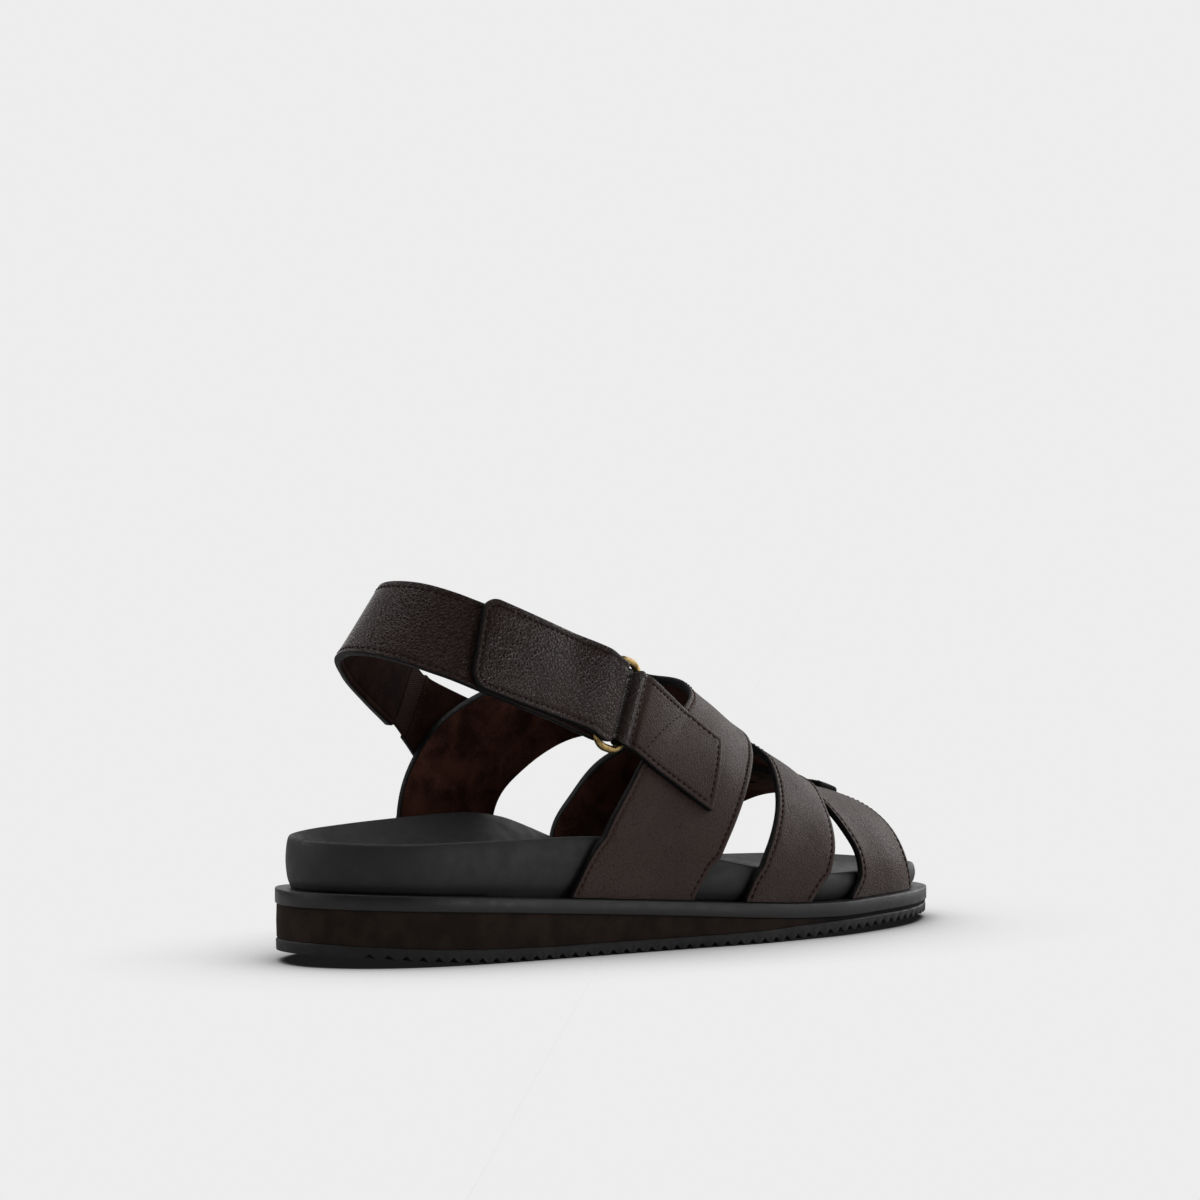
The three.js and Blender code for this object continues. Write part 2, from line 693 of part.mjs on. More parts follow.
// The flap, its fold round the ring, and the strap on from there to the stretch insert.
function makeHeelStrap() {
  const { thick, halfByRing, waist, steps } = HEEL_STRAP;
  const foldGap = 2 * (RING.wire + GAP) + thick;
  const flap = flapStops().map((distance) => {
    const { place, across, out } = heelFrame(distance);
    const settled = smooth(FLAP.settlesFrom, FLAP.settles, distance);
    const apart = THREE.MathUtils.lerp(foldGap, thick + FLAP.gap, settled);
    const inCorner = Math.max(0, FLAP.corner - (FLAP.length - distance));
    const cut = FLAP.corner - Math.sqrt(FLAP.corner ** 2 - inCorner ** 2);
    place.addScaledVector(out, apart);
    place.addScaledVector(across, FLAP.rise * smooth(0, FLAP.risesOver, distance));
    const [lower, upper] = straightRow(place, across, widening(distance, FLAP.half) - cut);
    const lengthwise = out.clone().cross(across);
    const slant = FLAP.slant * smooth(FLAP.length - FLAP.slantOver, FLAP.length, distance);
    return [lower.addScaledVector(lengthwise, -slant), upper.addScaledVector(lengthwise, slant)];
  });
  const width = { half: halfByRing, waist, thick, columns: 1, room: GAP };
  const fold = foldRows(heelFold, ringBack.clone().negate(), width);
  const strap = [];
  for (let k = 1; k <= steps; k += 1) {
    const distance = (insertStart * k) / steps;
    const { place, across } = heelFrame(distance);
    strap.push(straightRow(place, across, strapHalf(distance)));
  }
  return ribbon([...flap, ...fold, ...strap], thick);
}

function makeStretchInsert() {
  const rows = [];
  for (let k = 0; k <= 3; k += 1) {
    const distance = THREE.MathUtils.lerp(insertStart + GAP, insertEnd, k / 3);
    const { place, across } = heelFrame(distance);
    rows.push(straightRow(place, across, STRETCH_INSERT.half));
  }
  return ribbon(rows, STRETCH_INSERT.thick);
}

// Rows of a tab where it lies on the rear strap, bent across as the strap is.
function rowsOnStrap(tab) {
  const steps = 6;
  const rows = [];
  const place = (x, turn) => {
    const out = liftOf(REAR_STRAP, turn) + STRAP_WALL + TAB_GAP + tab.thick / 2;
    return overFoot(x, turn, out);
  };
  for (let k = 0; k <= steps; k += 1) {
    const at = (k / steps) * (tab.rows.length - 1);
    const i = Math.min(Math.floor(at), tab.rows.length - 2);
    const between = (key) => THREE.MathUtils.lerp(tab.rows[i][key], tab.rows[i + 1][key], at - i);
    const row = [];
    for (let c = 0; c <= TAB_COLUMNS; c += 1) {
      const x = THREE.MathUtils.lerp(between('lowerX'), between('upperX'), c / TAB_COLUMNS);
      const turn = THREE.MathUtils.lerp(between('lowerTurn'), between('upperTurn'), c / TAB_COLUMNS);
      row.push(place(x, turn));
    }
    rows.push(row);
  }
  return rows;
}

function makeInnerTab() {
  const { place, across } = heelFrame(insertEnd + 3 * GAP);
  const start = straightRow(place, across, INNER_TAB.half, TAB_COLUMNS);
  return ribbon([start, ...rowsOnStrap(INNER_TAB)], INNER_TAB.thick);
}

function makeRingTab() {
  const { half, waist, thick, room, sitsHigher } = RING_TAB;
  const roll = frontBar.clone().addScaledVector(ringAlong, sitsHigher);
  const fold = foldRows(roll, ringBack, { half, waist, thick, columns: TAB_COLUMNS, room });
  const end = fold[fold.length - 1];
  const tail = end.map((point) => point.clone().addScaledVector(ringBack, -RING_TAB.tail));
  return ribbon([...rowsOnStrap(RING_TAB), ...fold, tail], thick);
}

const sandal = new THREE.Group();

function addPiece(name, geometry, colour) {
  const mesh = new THREE.Mesh(geometry, new THREE.MeshStandardMaterial(COLOURS[colour]));
  mesh.name = name;
  sandal.add(mesh);
}

addPiece('outsole', makeOutsole(), 'outsole');
addPiece('midsole', makeMidsole(), 'midsole');
addPiece('welt', makeWelt(), 'welt');
addPiece('footbed', makeFootbed(), 'footbed');
addPiece('upper', makeUpper(), 'leather');
addPiece('heel_strap', makeHeelStrap(), 'leather');
addPiece('stretch_insert', makeStretchInsert(), 'stretch');
addPiece('inner_tab', makeInnerTab(), 'leather');
addPiece('ring_tab', makeRingTab(), 'leather');
addPiece('ring', makeRing(), 'brass');

// The sandal stands on its sole, over the origin.
const box = new THREE.Box3().setFromObject(sandal);
const middle = box.getCenter(new THREE.Vector3());
sandal.position.set(-middle.x, -middle.y, -box.min.z);

const part = new THREE.Group();
part.add(sandal);

export default part;
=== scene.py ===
"""A brown leather sandal with crossing straps, dressed over its solids."""
import math

import bpy
import numpy as np
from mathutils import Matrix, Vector


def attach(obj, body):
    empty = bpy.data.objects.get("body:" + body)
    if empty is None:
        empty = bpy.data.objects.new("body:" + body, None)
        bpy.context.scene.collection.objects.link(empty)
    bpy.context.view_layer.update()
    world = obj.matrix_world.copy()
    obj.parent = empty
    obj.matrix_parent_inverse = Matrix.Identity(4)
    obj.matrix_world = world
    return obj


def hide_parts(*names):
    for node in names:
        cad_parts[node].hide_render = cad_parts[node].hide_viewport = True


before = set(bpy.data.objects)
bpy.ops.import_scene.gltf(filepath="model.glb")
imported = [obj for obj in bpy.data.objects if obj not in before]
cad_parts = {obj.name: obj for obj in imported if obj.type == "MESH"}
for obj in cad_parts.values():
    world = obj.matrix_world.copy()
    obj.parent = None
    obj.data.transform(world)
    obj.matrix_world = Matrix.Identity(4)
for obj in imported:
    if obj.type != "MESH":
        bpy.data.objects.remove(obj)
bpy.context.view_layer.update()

# Sizes are in millimetres, from the back of the heel: X to the toe, Y to the inner side, Z up.
MM = 0.001
LENGTH = 290
MIDDLE = np.array((LENGTH / 2, 0.05, 0.0))
GAP = 0.3

# Sole outline at the welt: half widths to the outer and inner side of the centre line.
OUTLINE = {
    "x": (0, 3.5, 14.5, 35, 64, 101, 139, 174, 203, 232, 255, 274, 285.7, LENGTH),
    "outer": (0, 12.8, 25.7, 35.4, 40.8, 44.3, 48.2, 51.9, 51.4, 46.2, 38.5, 26.7, 14.1, -6),
    "inner": (0, 13, 26, 35, 38.5, 37.5, 40, 47, 52, 51.5, 46.5, 37, 24, 6),
}

# Heights along the sole: underside, then the tops of the outsole, the wedge and the welt.
LEVELS = {
    "x": (0, 14, 30, 62, 85, 116, 145, 165, 190, 212, 240, 266, LENGTH),
    "floor": (4.4, 3.2, 1.8, 0, 0, 0, 0, 0, 0.6, 1.7, 2.4, 2.6, 2.6),
    "outsole": (8.4, 7.3, 6.1, 4.7, 4.3, 4.3, 4.2, 4.4, 5.1, 5.6, 5.9, 5.9, 5.7),
    "wedge": (19.9, 19.4, 18.6, 16.7, 15.1, 12.9, 10.7, 9.2, 7.5, 6.9, 7.1, 7.1, 6.8),
    "welt": (25.2, 24.7, 23.8, 21.9, 20.3, 18.1, 15.9, 14.4, 12.7, 12.1, 12.2, 12, 11.5),
}

# Footbed: how far its side stands in from the welt's edge, its rim heights and its bed height.
FOOTBED = {
    "x": (0, 30, 60, 97, 115, 130, 146, 173, 205, 239, 264, LENGTH),
    "inset": (3.2, 4.8, 5.8, 6, 6, 6, 6, 6, 6, 6, 6, 3),
    "outer": (42.3, 41, 40.9, 40.7, 39, 36.2, 32.2, 26.2, 21.9, 21.2, 20.6, 19.6),
    "inner": (42.3, 43.2, 44.2, 45.2, 43.2, 38.6, 32.9, 26.6, 22.6, 21.7, 21.2, 19.6),
    "bed": (31, 31.5, 32, 31.5, 30, 28, 25.2, 20.8, 18, 17.8, 17.6, 16.8),
}
CUP = {"rim": 2.4, "heel": 26, "toe": 266, "fall": 2.2}
CUP_SHARES = np.linspace(0.012, 0.985, 40) ** 1.5

# Side of the outsole: insets and rises along its ribbed lower edge and its plain upper edge.
SOLE_STEPS = 200
OUTSOLE_SIDE = {"ribbed": ((0.55, 0), (0.4, 0.25)), "plain": ((0.3, -0.5), (0.65, 0))}

# Sides of the layers above it: how far in each one stands at a share of its height.
WEDGE_SIDE = {"share": (0, 0.04, 0.5, 0.96, 1), "inset": (0.8, 0.55, 0.4, 0.55, 0.8)}
WELT_SIDE = {
    "share": (0, 0.025, 0.08, 0.5, 0.92, 0.975, 1),
    "inset": (0.4, 0.12, 0, 0, 0, 0.12, 0.4),
}
FOOTBED_SIDE = {
    "share": (0, 0.22, 0.55, 0.82, 0.94, 0.985, 1),
    "inset": (1.8, 0.5, 0, 0.35, 0.8, 1.25, 1.9),
}

# Ribs round the edge of the outsole, and the depth of the cut along each one.
RIBS = {"start": 9.7, "end": 276, "pitch": 5.39, "reach": 15, "least": 0.8}
RIB_SHAPE = {
    "along": (0, 0.5, 1.2, 1.7, 3.35, 3.6, 3.85),
    "cut": (0.12, 0, 0, 0.12, 1.6, 1.75, 1.6),
}

# Top of the foot: where its ridge runs, and how round each side is.
RIDGE = {
    "x": (60, 90, 115, 140, 160, 175, 190, 205, 220, 235, 250, 264, LENGTH),
    "y": (2, 3, 4, 5.4, 7, 8, 8, 8, 8, 7, 6, 5, 4),
    "z": (153, 136, 120.7, 105.3, 92.6, 81.8, 71.4, 63, 54.2, 49, 45.3, 39.3, 24.6),
}
ROUND_OUTER = 1.9
ROUND_INNER = 2.3
FOOT_OF_STRAP = 1.4

# Straps over the foot, by a turn of -1 at the outer rim, 0 on the ridge and 1 at the inner rim.
# The front one is in two bands, and the inner band ends on top of the outer one.
STRAP_WALL = 2.6
STRAP_SOFTNESS = 0.06
OVER_TURNS = (-1.4, -1, -0.85, -0.7, -0.5, -0.3, 0, 0.3, 0.5, 0.7, 0.85, 1, 1.4)
STRAPS = {
    "rear_strap": {
        "lift": 3.6,
        "lapped": (0.62, 0.2),
        "turns": OVER_TURNS,
        "rear": (89, 103.5, 115.5, 128, 148.5, 164, 171.3, 150.5, 132, 107, 85, 73, 71),
        "front": (141.5, 153, 161, 170, 182.5, 193, 205, 192, 172, 147.5, 131.2, 115.8, 106),
    },
    "middle_strap": {
        "lift": 1.9,
        "lapped": (0.62, 0.35),
        "turns": OVER_TURNS,
        "rear": (163, 171, 178, 185, 193, 198, 199, 192, 182, 169, 158.5, 146, 141),
        "front": (195.5, 205, 209.5, 213, 218.5, 226, 237, 230, 214, 198, 188.5, 178.5, 170),
    },
    "front_outer_strap": {
        "lift": 0,
        "lapped": (0.62, 0.35),
        "turns": (-1.4, -1, -0.85, -0.7, -0.5, -0.3, 0, 0.125),
        "rear": (217, 223.5, 223, 220.5, 219, 218, 217, 216),
        "front": (263.5, 260, 257.6, 257, 257.3, 257.5, 256, 254),
    },
    "front_inner_strap": {
        "lift": 2.3,
        "lapped": (0.62, 0.35),
        "turns": (-0.0625, 0.125, 0.3, 0.5, 0.7, 0.85, 1, 1.4),
        "rear": (248, 242, 232, 219.5, 207.5, 199, 192, 188),
        "front": (257.5, 256, 251, 241.5, 232, 226.5, 222, 220),
    },
}
INNER_BAND_CORNER = 1.6

# Gentle swelling of each strap: its height, and the turns and shares in the sines of its two waves.
STRAP_SWELL = {
    "rear_strap": (0.25, (9, 4), (-3, 7)),
    "middle_strap": (0.2, (8, -3), (2, 6)),
    "front_outer_strap": (0.2, (7, 5), (-4, 5)),
    "front_inner_strap": (0.2, (7, 5), (-4, 5)),
}
SWELL_FADE = 4

# Soft troughs in the rear strap's lining, where the inner tab pulls on it: turn and share of the width
# at both ends, depth and spread, with the millimetres in one turn and in the width.
LINING_CREASES = {
    "rear_strap": (
        {"from": (0.893, 0.09), "to": (0.952, 0.47), "depth": 1.3, "spread": 0.8},
        {"from": (0.757, 0.17), "to": (0.785, 0.4), "depth": 1.1, "spread": 0.7},
    ),
}
CREASE_SCALE = np.array((70, 42))

# Brass ring and the frame it lies in.
RING = {"wire": 1.35, "half_length": 15.6, "half_width": 6.2, "corner": 5.2}
RING_STEPS = {"quarter": 17, "around": 20}
RING_SLOPE = math.radians(18)
RING_MIDDLE = np.array((112.5, -37.5, 85.4))
RING_ALONG = np.array((math.sin(RING_SLOPE), 0, math.cos(RING_SLOPE)))
RING_BACK = np.array((-math.cos(RING_SLOPE), 0, math.sin(RING_SLOPE)))
RING_OUT = np.array((0.0, -1.0, 0.0))

# Heel strap: middle line from the ring round the heel to the inner tab, with its inward lean.
HEEL_STRAP = {
    "thick": 2.8, "half": 14.7, "half_by_ring": 14.6, "waist": 1.7, "half_at_insert": 14.4,
    "narrows": 50, "corner": 4, "lining_from": 95,
}
HEEL_LINE = {
    "x": (95, 75, 57, 43.5, 35, 31.5, 35.2, 43.5, 57.3, 75, 83.5, 94),
    "y": (-34.9, -36.5, -34.5, -29.5, -19.5, -6, 7, 15.5, 24, 33.2, 37.2, 40.6),
    "z": (92.2, 98.9, 105.6, 111.1, 115, 116.2, 114, 107.8, 98.9, 88.2, 82.4, 75),
    "lean": (2, 5, 10, 19, 29, 36, 33, 25, 14, 5, 3, 0),
}

# Its end, folded loosely round the ring and laid back over the strap, measured from the ring.
FLAP = {
    "length": 61, "half": 15.9, "slack": 1.6, "sits_higher": 0.45, "rise": 1.3, "rises_over": 8,
    "gap": 0.4, "settles_from": 5, "settles": 24, "corner": 6, "slant": 1.3, "slant_over": 30,
}
STRETCH_INSERT = {"thick": 1.8, "half": 12.2, "from_x": 75.5, "to_x": 83, "tucked": 2}

# Tabs that lie on the rear strap: places of their upper and lower edge.
TAB_THICK = 2.2
TAB_GAP = 0.2
INNER_TAB = {
    "half": 13,
    "straight": 3,
    "upper_x": (105, 112, 119.5),
    "upper_turn": (0.73, 0.73, 0.731),
    "lower_x": (85, 94, 104.5),
    "lower_turn": (0.92, 0.945, 0.965),
}
RING_TAB = {
    "half": 13.5, "waist": 1.6, "sits_higher": 0.2, "room": 0.65, "tail": 8, "corner": 1.6,
    "upper_x": (163, 156, 150),
    "upper_turn": (-0.55, -0.53, -0.512),
    "lower_x": (149, 137.5, 127),
    "lower_turn": (-0.856, -0.82, -0.79),
}

# Seams across the ring tab, as shares of its sewn length at its lower and upper edge. The last one
# lies in a trough beside the roll round the ring.
RING_TAB_SEAMS = ((0.05, 0.05), (0.8, 0.5), (0.97, 0.97))
ROLL_TROUGH = {"depth": 1.3, "spread": 1.4}

# The flap bulges between the ring and its sewn end.
FLAP_BULGE = {"height": 1.1, "distance": 20, "reach": 17, "share": 0.4, "spread": 0.32, "fade": 5}
FOLD_SQUARENESS = 0.62

# Where the seams of the heel strap stop: short of the ring on the flap, past it and at the strap's end.
HEEL_SEAMS = {"from_ring": 4, "past_flap": 14, "from_end": 4}

# Leather: rounded painted edges, and a line of stitches in a shallow groove along them.
EDGE_OUT = 0.9
EDGE_IN = 0.6
PAINTED = 0.35
EDGE_INSETS = (0, 0.06, 0.2, 0.42, 0.68, 0.95, 1.25, 1.6, 1.9, 2.2, 2.5, 2.8, 3.2, 3.8)
CORNER_STEP = 0.7
STITCH = {"inset": 2.2, "pitch": 2.55, "length": 1.95, "radius": 0.27, "groove": 0.26, "spread": 0.5}

# One stitch: heights and widths along its bent tube, as millimetres and as shares of its radius.
STITCH_RISES = np.array((-0.26, 0.06, 0.13, 0.06, -0.26))
STITCH_WIDTHS = np.array((0.7, 1, 1.05, 1, 0.7))
STITCH_SIDES = 6
STITCH_SINK = 0.6

# Seams across a tab, as shares of its width.
INNER_TAB_CROSS = np.linspace(0.08, 0.92, 40)
RING_TAB_CROSS = np.linspace(0.09, 0.91, 40)

# Dye of the leather.
LEATHER_BROWN = (0.067, 0.039, 0.0325)
GLOSSY_BROWN = (0.040, 0.0215, 0.018)

# Camera: place over the floor, heading and tilt in degrees, and focal length on a 36 mm frame.
CAMERA_PLACE = (-1154.13, -1295.1, 177.57)
CAMERA_HEADING = -41.53
CAMERA_TILT = 1.91
CAMERA_LENS = 147.03

# Studio: tone of the backdrop, light from all round and from the floor, and reach of the floor's shadow.
BACKGROUND = 0.847
WORLD_LIGHT = 0.01
FLOOR_LIGHT = 0.48
SHADOW_REACH = 0.075
FLOOR_SHADE = {"From Min": 0.3, "From Max": 0.97, "To Min": 0.01, "To Max": BACKGROUND}
FLOOR_REACH = 40.0

# Soft boxes: name, place in metres, width and height, and power in watts.
LIGHTS = (
    ("overhead", (0.0, 0.4, 1.4), (1.4, 1.0), 7),
    ("top_front", (0.0, -0.6, 1.3), (1.2, 0.8), 2),
    ("toe_front", (1.3, -0.75, 0.55), (0.8, 0.9), 3),
    ("toe_low", (1.1, -1.0, 0.14), (1.2, 0.25), 0.5),
    ("glint", (0.5, -1.44, 0.12), (0.34, 0.18), 1.8),
    ("toe_side", (1.4, 0.1, 0.5), (0.9, 0.9), 6),
    ("heel_side", (-1.4, 0.35, 0.55), (0.9, 0.9), 2.5),
    ("heel_back", (-0.7, 1.3, 0.8), (1.0, 0.8), 3.5),
    ("backdrop", (1.2, 1.35, 0.7), (2.2, 1.2), 6),
)
LIGHT_TARGET = (0.0, 0.0, 0.05)


def curve(xs, ys):
    """A smooth curve through table values that never overshoots them."""
    xs, ys = np.asarray(xs, float), np.asarray(ys, float)
    steps = np.diff(xs)
    rises = np.diff(ys) / steps
    slopes = np.zeros_like(ys)
    slopes[0], slopes[-1] = rises[0], rises[-1]
    for i in range(1, len(xs) - 1):
        if rises[i - 1] * rises[i] > 0:
            near = 2 * steps[i] + steps[i - 1]
            far = steps[i] + 2 * steps[i - 1]
            slopes[i] = (near + far) / (near / rises[i - 1] + far / rises[i])

    def at(value):
        v = np.clip(value, xs[0], xs[-1])
        i = np.clip(np.searchsorted(xs, v, side="right") - 1, 0, len(steps) - 1)
        t = (v - xs[i]) / steps[i]
        start = ys[i] * (1 + 2 * t) * (1 - t) ** 2 + steps[i] * slopes[i] * t * (1 - t) ** 2
        end = ys[i + 1] * t * t * (3 - 2 * t) + steps[i] * slopes[i + 1] * t * t * (t - 1)
        return start + end

    return at


def soften(function, reach, count=7):
    """The function, averaged over a short reach so that its bends run on smoothly."""
    offsets = np.linspace(-reach, reach, count)
    weights = np.cos(offsets / reach * math.pi / 2.3)
    weights = weights / weights.sum()
    return lambda value: sum(w * function(value + d) for w, d in zip(weights, offsets))


def smooth(start, end, value):
    t = np.clip((value - start) / (end - start), 0, 1)
    return t * t * (3 - 2 * t)


def lerp(a, b, share):
    return a + (b - a) * share


def unit(vectors):
    return vectors / np.linalg.norm(vectors, axis=-1, keepdims=True)


def running_length(points):
    """The way along a line of points, from its start, at each of them."""
    return np.concatenate([[0], np.cumsum(np.linalg.norm(np.diff(points, axis=0), axis=-1))])


def rows_at(value, xs, rows):
    """Rows of a table at values between its own."""
    return np.stack([np.interp(value, xs, column) for column in rows.T], -1)


def angle_at(x):
    """The sole is followed by an angle that runs evenly round its blunt heel and toe."""
    return np.arccos(np.clip(1 - 2 * np.asarray(x, float) / LENGTH, -1, 1))


def x_at(angle):
    return LENGTH / 2 * (1 - np.cos(angle))


OUTLINE_ANGLES = angle_at(OUTLINE["x"])
half_width = {side: curve(OUTLINE_ANGLES, OUTLINE[side]) for side in ("outer", "inner")}
level = {name: soften(curve(LEVELS["x"], LEVELS[name]), 5) for name in LEVELS if name != "x"}
rim = {side: soften(curve(FOOTBED["x"], FOOTBED[side]), 6) for side in ("outer", "inner")}
bed = soften(curve(FOOTBED["x"], FOOTBED["bed"]), 6)
footbed_inset = curve(FOOTBED["x"], FOOTBED["inset"])
ridge_y = soften(curve(RIDGE["x"], RIDGE["y"]), 6)
ridge_z = soften(curve(RIDGE["x"], RIDGE["z"]), 6)


def side_y(side, x):
    return (-1 if side == "outer" else 1) * half_width[side](angle_at(x))


def outline_point(side, x, inset):
    """A point of the outline, moved inward along its normal."""
    turn = 0.004
    angle = np.clip(angle_at(x), turn, math.pi - turn)
    before, after = x_at(angle - turn), x_at(angle + turn)
    along = unit(np.stack([after - before, side_y(side, after) - side_y(side, before)], -1))
    inward = 1 if side == "outer" else -1
    return x - inward * along[..., 1] * inset, side_y(side, x) + inward * along[..., 0] * inset


def inset_y(side, x, inset):
    """Side position of the inset outline at a given x."""
    station = np.asarray(x, float)
    for _ in range(8):
        px, py = outline_point(side, station, inset)
        station = np.clip(station + x - px, 0.5, LENGTH - 0.5)
    return outline_point(side, station, inset)[1]


def over_foot(x, turn, out):
    """Point over the foot at a place along it and a turn round it, some way out from the foot."""
    x, turn, out = np.broadcast_arrays(np.asarray(x, float), turn, out)
    away = np.abs(turn)
    slope = (ridge_z(x + 1) - ridge_z(x - 1)) / 2
    top_y, top_z = ridge_y(x), ridge_z(x) + out * np.hypot(1, slope)
    points = np.empty(x.shape + (3,))
    for side, roundness in (("outer", ROUND_OUTER), ("inner", ROUND_INNER)):
        here = turn < 0 if side == "outer" else turn >= 0
        rim_y = inset_y(side, x, footbed_inset(x) - GAP - out)
        rim_z = rim[side](x)
        share = np.clip((away - 1) / (FOOT_OF_STRAP - 1), 0, 1)
        bend = np.clip(away, 0, 1) * math.pi / 2
        side_share = np.sin(bend) ** (2 / roundness)
        top_share = np.clip(np.cos(bend), 0, 1) ** (2 / roundness)
        y = lerp(top_y, rim_y, side_share)
        z = np.where(away > 1, lerp(rim_z, level["welt"](x) + GAP, share), lerp(rim_z, top_z, top_share))
        points[here] = np.stack([x, y, z], -1)[here]
    return points


def sole_stations(count):
    return x_at(math.pi * np.arange(1, count + 1) / (count + 1))


def sole_ring(stations, inset, height):
    """A closed loop round the sole, moved in from the outline: heel, outer side, toe, inner side."""
    inset_at = inset if callable(inset) else lambda x: inset + 0 * x
    heel, toe = inset_at(0.0), LENGTH - inset_at(float(LENGTH))
    rows = []
    for side in ("outer", "inner"):
        px, py = outline_point(side, stations, inset_at(stations))
        rows.append(np.stack([px, py, height(px, stations, side)], -1))
    heel_point = heel, 0, height(heel, 0.0, "outer")
    toe_point = toe, half_width["inner"](math.pi), height(toe, float(LENGTH), "inner")
    return np.vstack([heel_point, rows[0], toe_point, rows[1][::-1]])


def put_in_scene(name, data):
    obj = bpy.data.objects.new(name, data)
    bpy.context.scene.collection.objects.link(obj)
    return obj


def signed_volume(points, quads):
    a, b, c, d = (points[quads[:, k]] for k in range(4))
    return np.einsum("ij,ij->", a, np.cross(b, c)) + np.einsum("ij,ij->", a, np.cross(c, d))


def add_object(name, points, quads, kinds, materials, sharp=None):
    """A mesh object riding on the sandal. Quads whose last corner repeats are triangles."""
    if signed_volume(points, quads) < 0:
        quads = quads[:, ::-1]
    faces = [list(dict.fromkeys(face)) for face in quads.tolist()]
    keep = [k for k, face in enumerate(faces) if len(face) > 2]
    mesh = bpy.data.meshes.new(name)
    mesh.from_pydata(((points - MIDDLE) * MM).tolist(), [], [faces[k] for k in keep])
    for material in materials:
        mesh.materials.append(material)
    kinds = np.broadcast_to(kinds, (len(quads),))[keep]
    mesh.polygons.foreach_set("material_index", kinds.astype(np.int32))
    mesh.polygons.foreach_set("use_smooth", np.ones(len(keep), bool))
    if sharp is not None:
        mesh.set_sharp_from_angle(angle=math.radians(sharp))
    mesh.update()
    obj = put_in_scene(name, mesh)
    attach(obj, "root")
    return obj


def loft_quads(loops, size):
    """Quads between loops of points that follow one another."""
    j, i = np.meshgrid(np.arange(loops - 1), np.arange(size), indexing="ij")
    low, high = j * size, (j + 1) * size
    following = (i + 1) % size
    return np.stack([low + i, low + following, high + following, high + i], -1).reshape(-1, 4)


def cap_quads(first, size):
    """A strip across a sole loop, from its heel point to its toe point."""
    i = np.arange(size // 2)
    return first + np.stack([i, i + 1, (size - i - 1) % size, (size - i) % size], -1)


def add_sole_layer(name, loops, material, node, sharp=40):
    size = len(loops[0])
    points = np.vstack(loops)
    underside = cap_quads(0, size)[:, ::-1]
    top = cap_quads((len(loops) - 1) * size, size)
    quads = np.vstack([loft_quads(len(loops), size), underside, top])
    layer = add_object(name, points, quads, 0, [material], sharp)
    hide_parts(node)


def side_loops(stations, profile, low, high, inset_at=lambda x: 0 * x):
    """Loops up the side of a layer, between its underside and its top."""
    loops = []
    for share, inset in zip(profile["share"], profile["inset"]):
        loops.append(sole_ring(
            stations,
            lambda x, inset=inset: inset_at(x) + inset,
            lambda x, station, side, share=share: lerp(low(x), high(x, side), share),
        ))
    return loops


def rib_stations():
    """Places of the ribs' corners along the sole, and how deep the sole is cut there."""
    starts = np.arange(RIBS["start"], RIBS["end"], RIBS["pitch"])
    places = (starts[:, None] + np.array(RIB_SHAPE["along"])).ravel()
    cuts = np.tile(RIB_SHAPE["cut"], len(starts))
    plain = sole_stations(SOLE_STEPS - 20)
    plain = plain[(plain < places[0] - RIBS["least"]) | (plain > places[-1] + RIBS["least"])]
    order = np.argsort(np.concatenate([plain, places]))
    return np.concatenate([plain, places])[order], np.concatenate([0 * plain, cuts])[order]


def add_outsole(material):
    stations, cuts = rib_stations()

    def edge(x, station, side):
        deepest = level["outsole"](station) - level["floor"](station) - RIBS["least"]
        return level["floor"](station) + np.minimum(np.interp(station, stations, cuts), deepest)

    def top(x, station, side):
        return level["outsole"](x)

    loops = [sole_ring(stations, RIBS["reach"], lambda x, station, side: level["floor"](x))]
    for height, key in ((edge, "ribbed"), (top, "plain")):
        for inset, rise in OUTSOLE_SIDE[key]:
            raised = lambda x, station, side, rise=rise: height(x, station, side) + rise
            loops.append(sole_ring(stations, inset, raised))
    add_sole_layer("outsole_rubber", loops, material, "outsole", 30)


def add_band(name, below, top, profile, material, node, sharp=40):
    """A layer of the sole between two of its levels."""
    low = lambda x: level[below](x) + GAP / 3
    high = lambda x, side: level[top](x)
    loops = side_loops(sole_stations(SOLE_STEPS), profile, low, high)
    add_sole_layer(name, loops, material, node, sharp)


def add_footbed(material):
    """Footbed: its side bulges and tucks in below, its rim is thin and its bed is cupped."""
    stations = sole_stations(SOLE_STEPS)
    top = lambda x, side: rim[side](x)
    fine = np.unique(np.concatenate([np.linspace(0, 0.9, 16), np.linspace(0.9, 1, 9)]))
    profile_inset = curve(FOOTBED_SIDE["share"], FOOTBED_SIDE["inset"])
    profile = {"share": fine, "inset": profile_inset(fine)}
    loops = side_loops(stations, profile, lambda x: level["welt"](x) + GAP / 3, top, footbed_inset)
    rim_inset = lambda x: footbed_inset(x) + CUP["rim"]
    rim_x, rim_y, rim_z = sole_ring(stations, rim_inset, lambda x, station, side: rim[side](x)).T
    middle_x = np.clip(rim_x, CUP["heel"], CUP["toe"])
    middle_y = (side_y("outer", middle_x) + side_y("inner", middle_x)) / 2
    for share in CUP_SHARES:
        x, y = lerp(rim_x, middle_x, share), lerp(rim_y, middle_y, share)
        loops.append(np.stack([x, y, lerp(bed(x), rim_z, (1 - share) ** CUP["fall"])], -1))
    add_sole_layer("footbed_shell", loops, material, "footbed", 70)


# Strips of leather. Each one is a surface, place(s, q, h), for a way s along it, a share q of its width
# and a height h over its inner face.
LEATHER, EDGE, LINING, ROLL = range(4)


def strap_lift(strap, turn):
    """How far a strap is lifted off the foot, by the straps that it laps over near the ridge."""
    return strap["lift"] * smooth(*strap["lapped"], np.abs(turn))


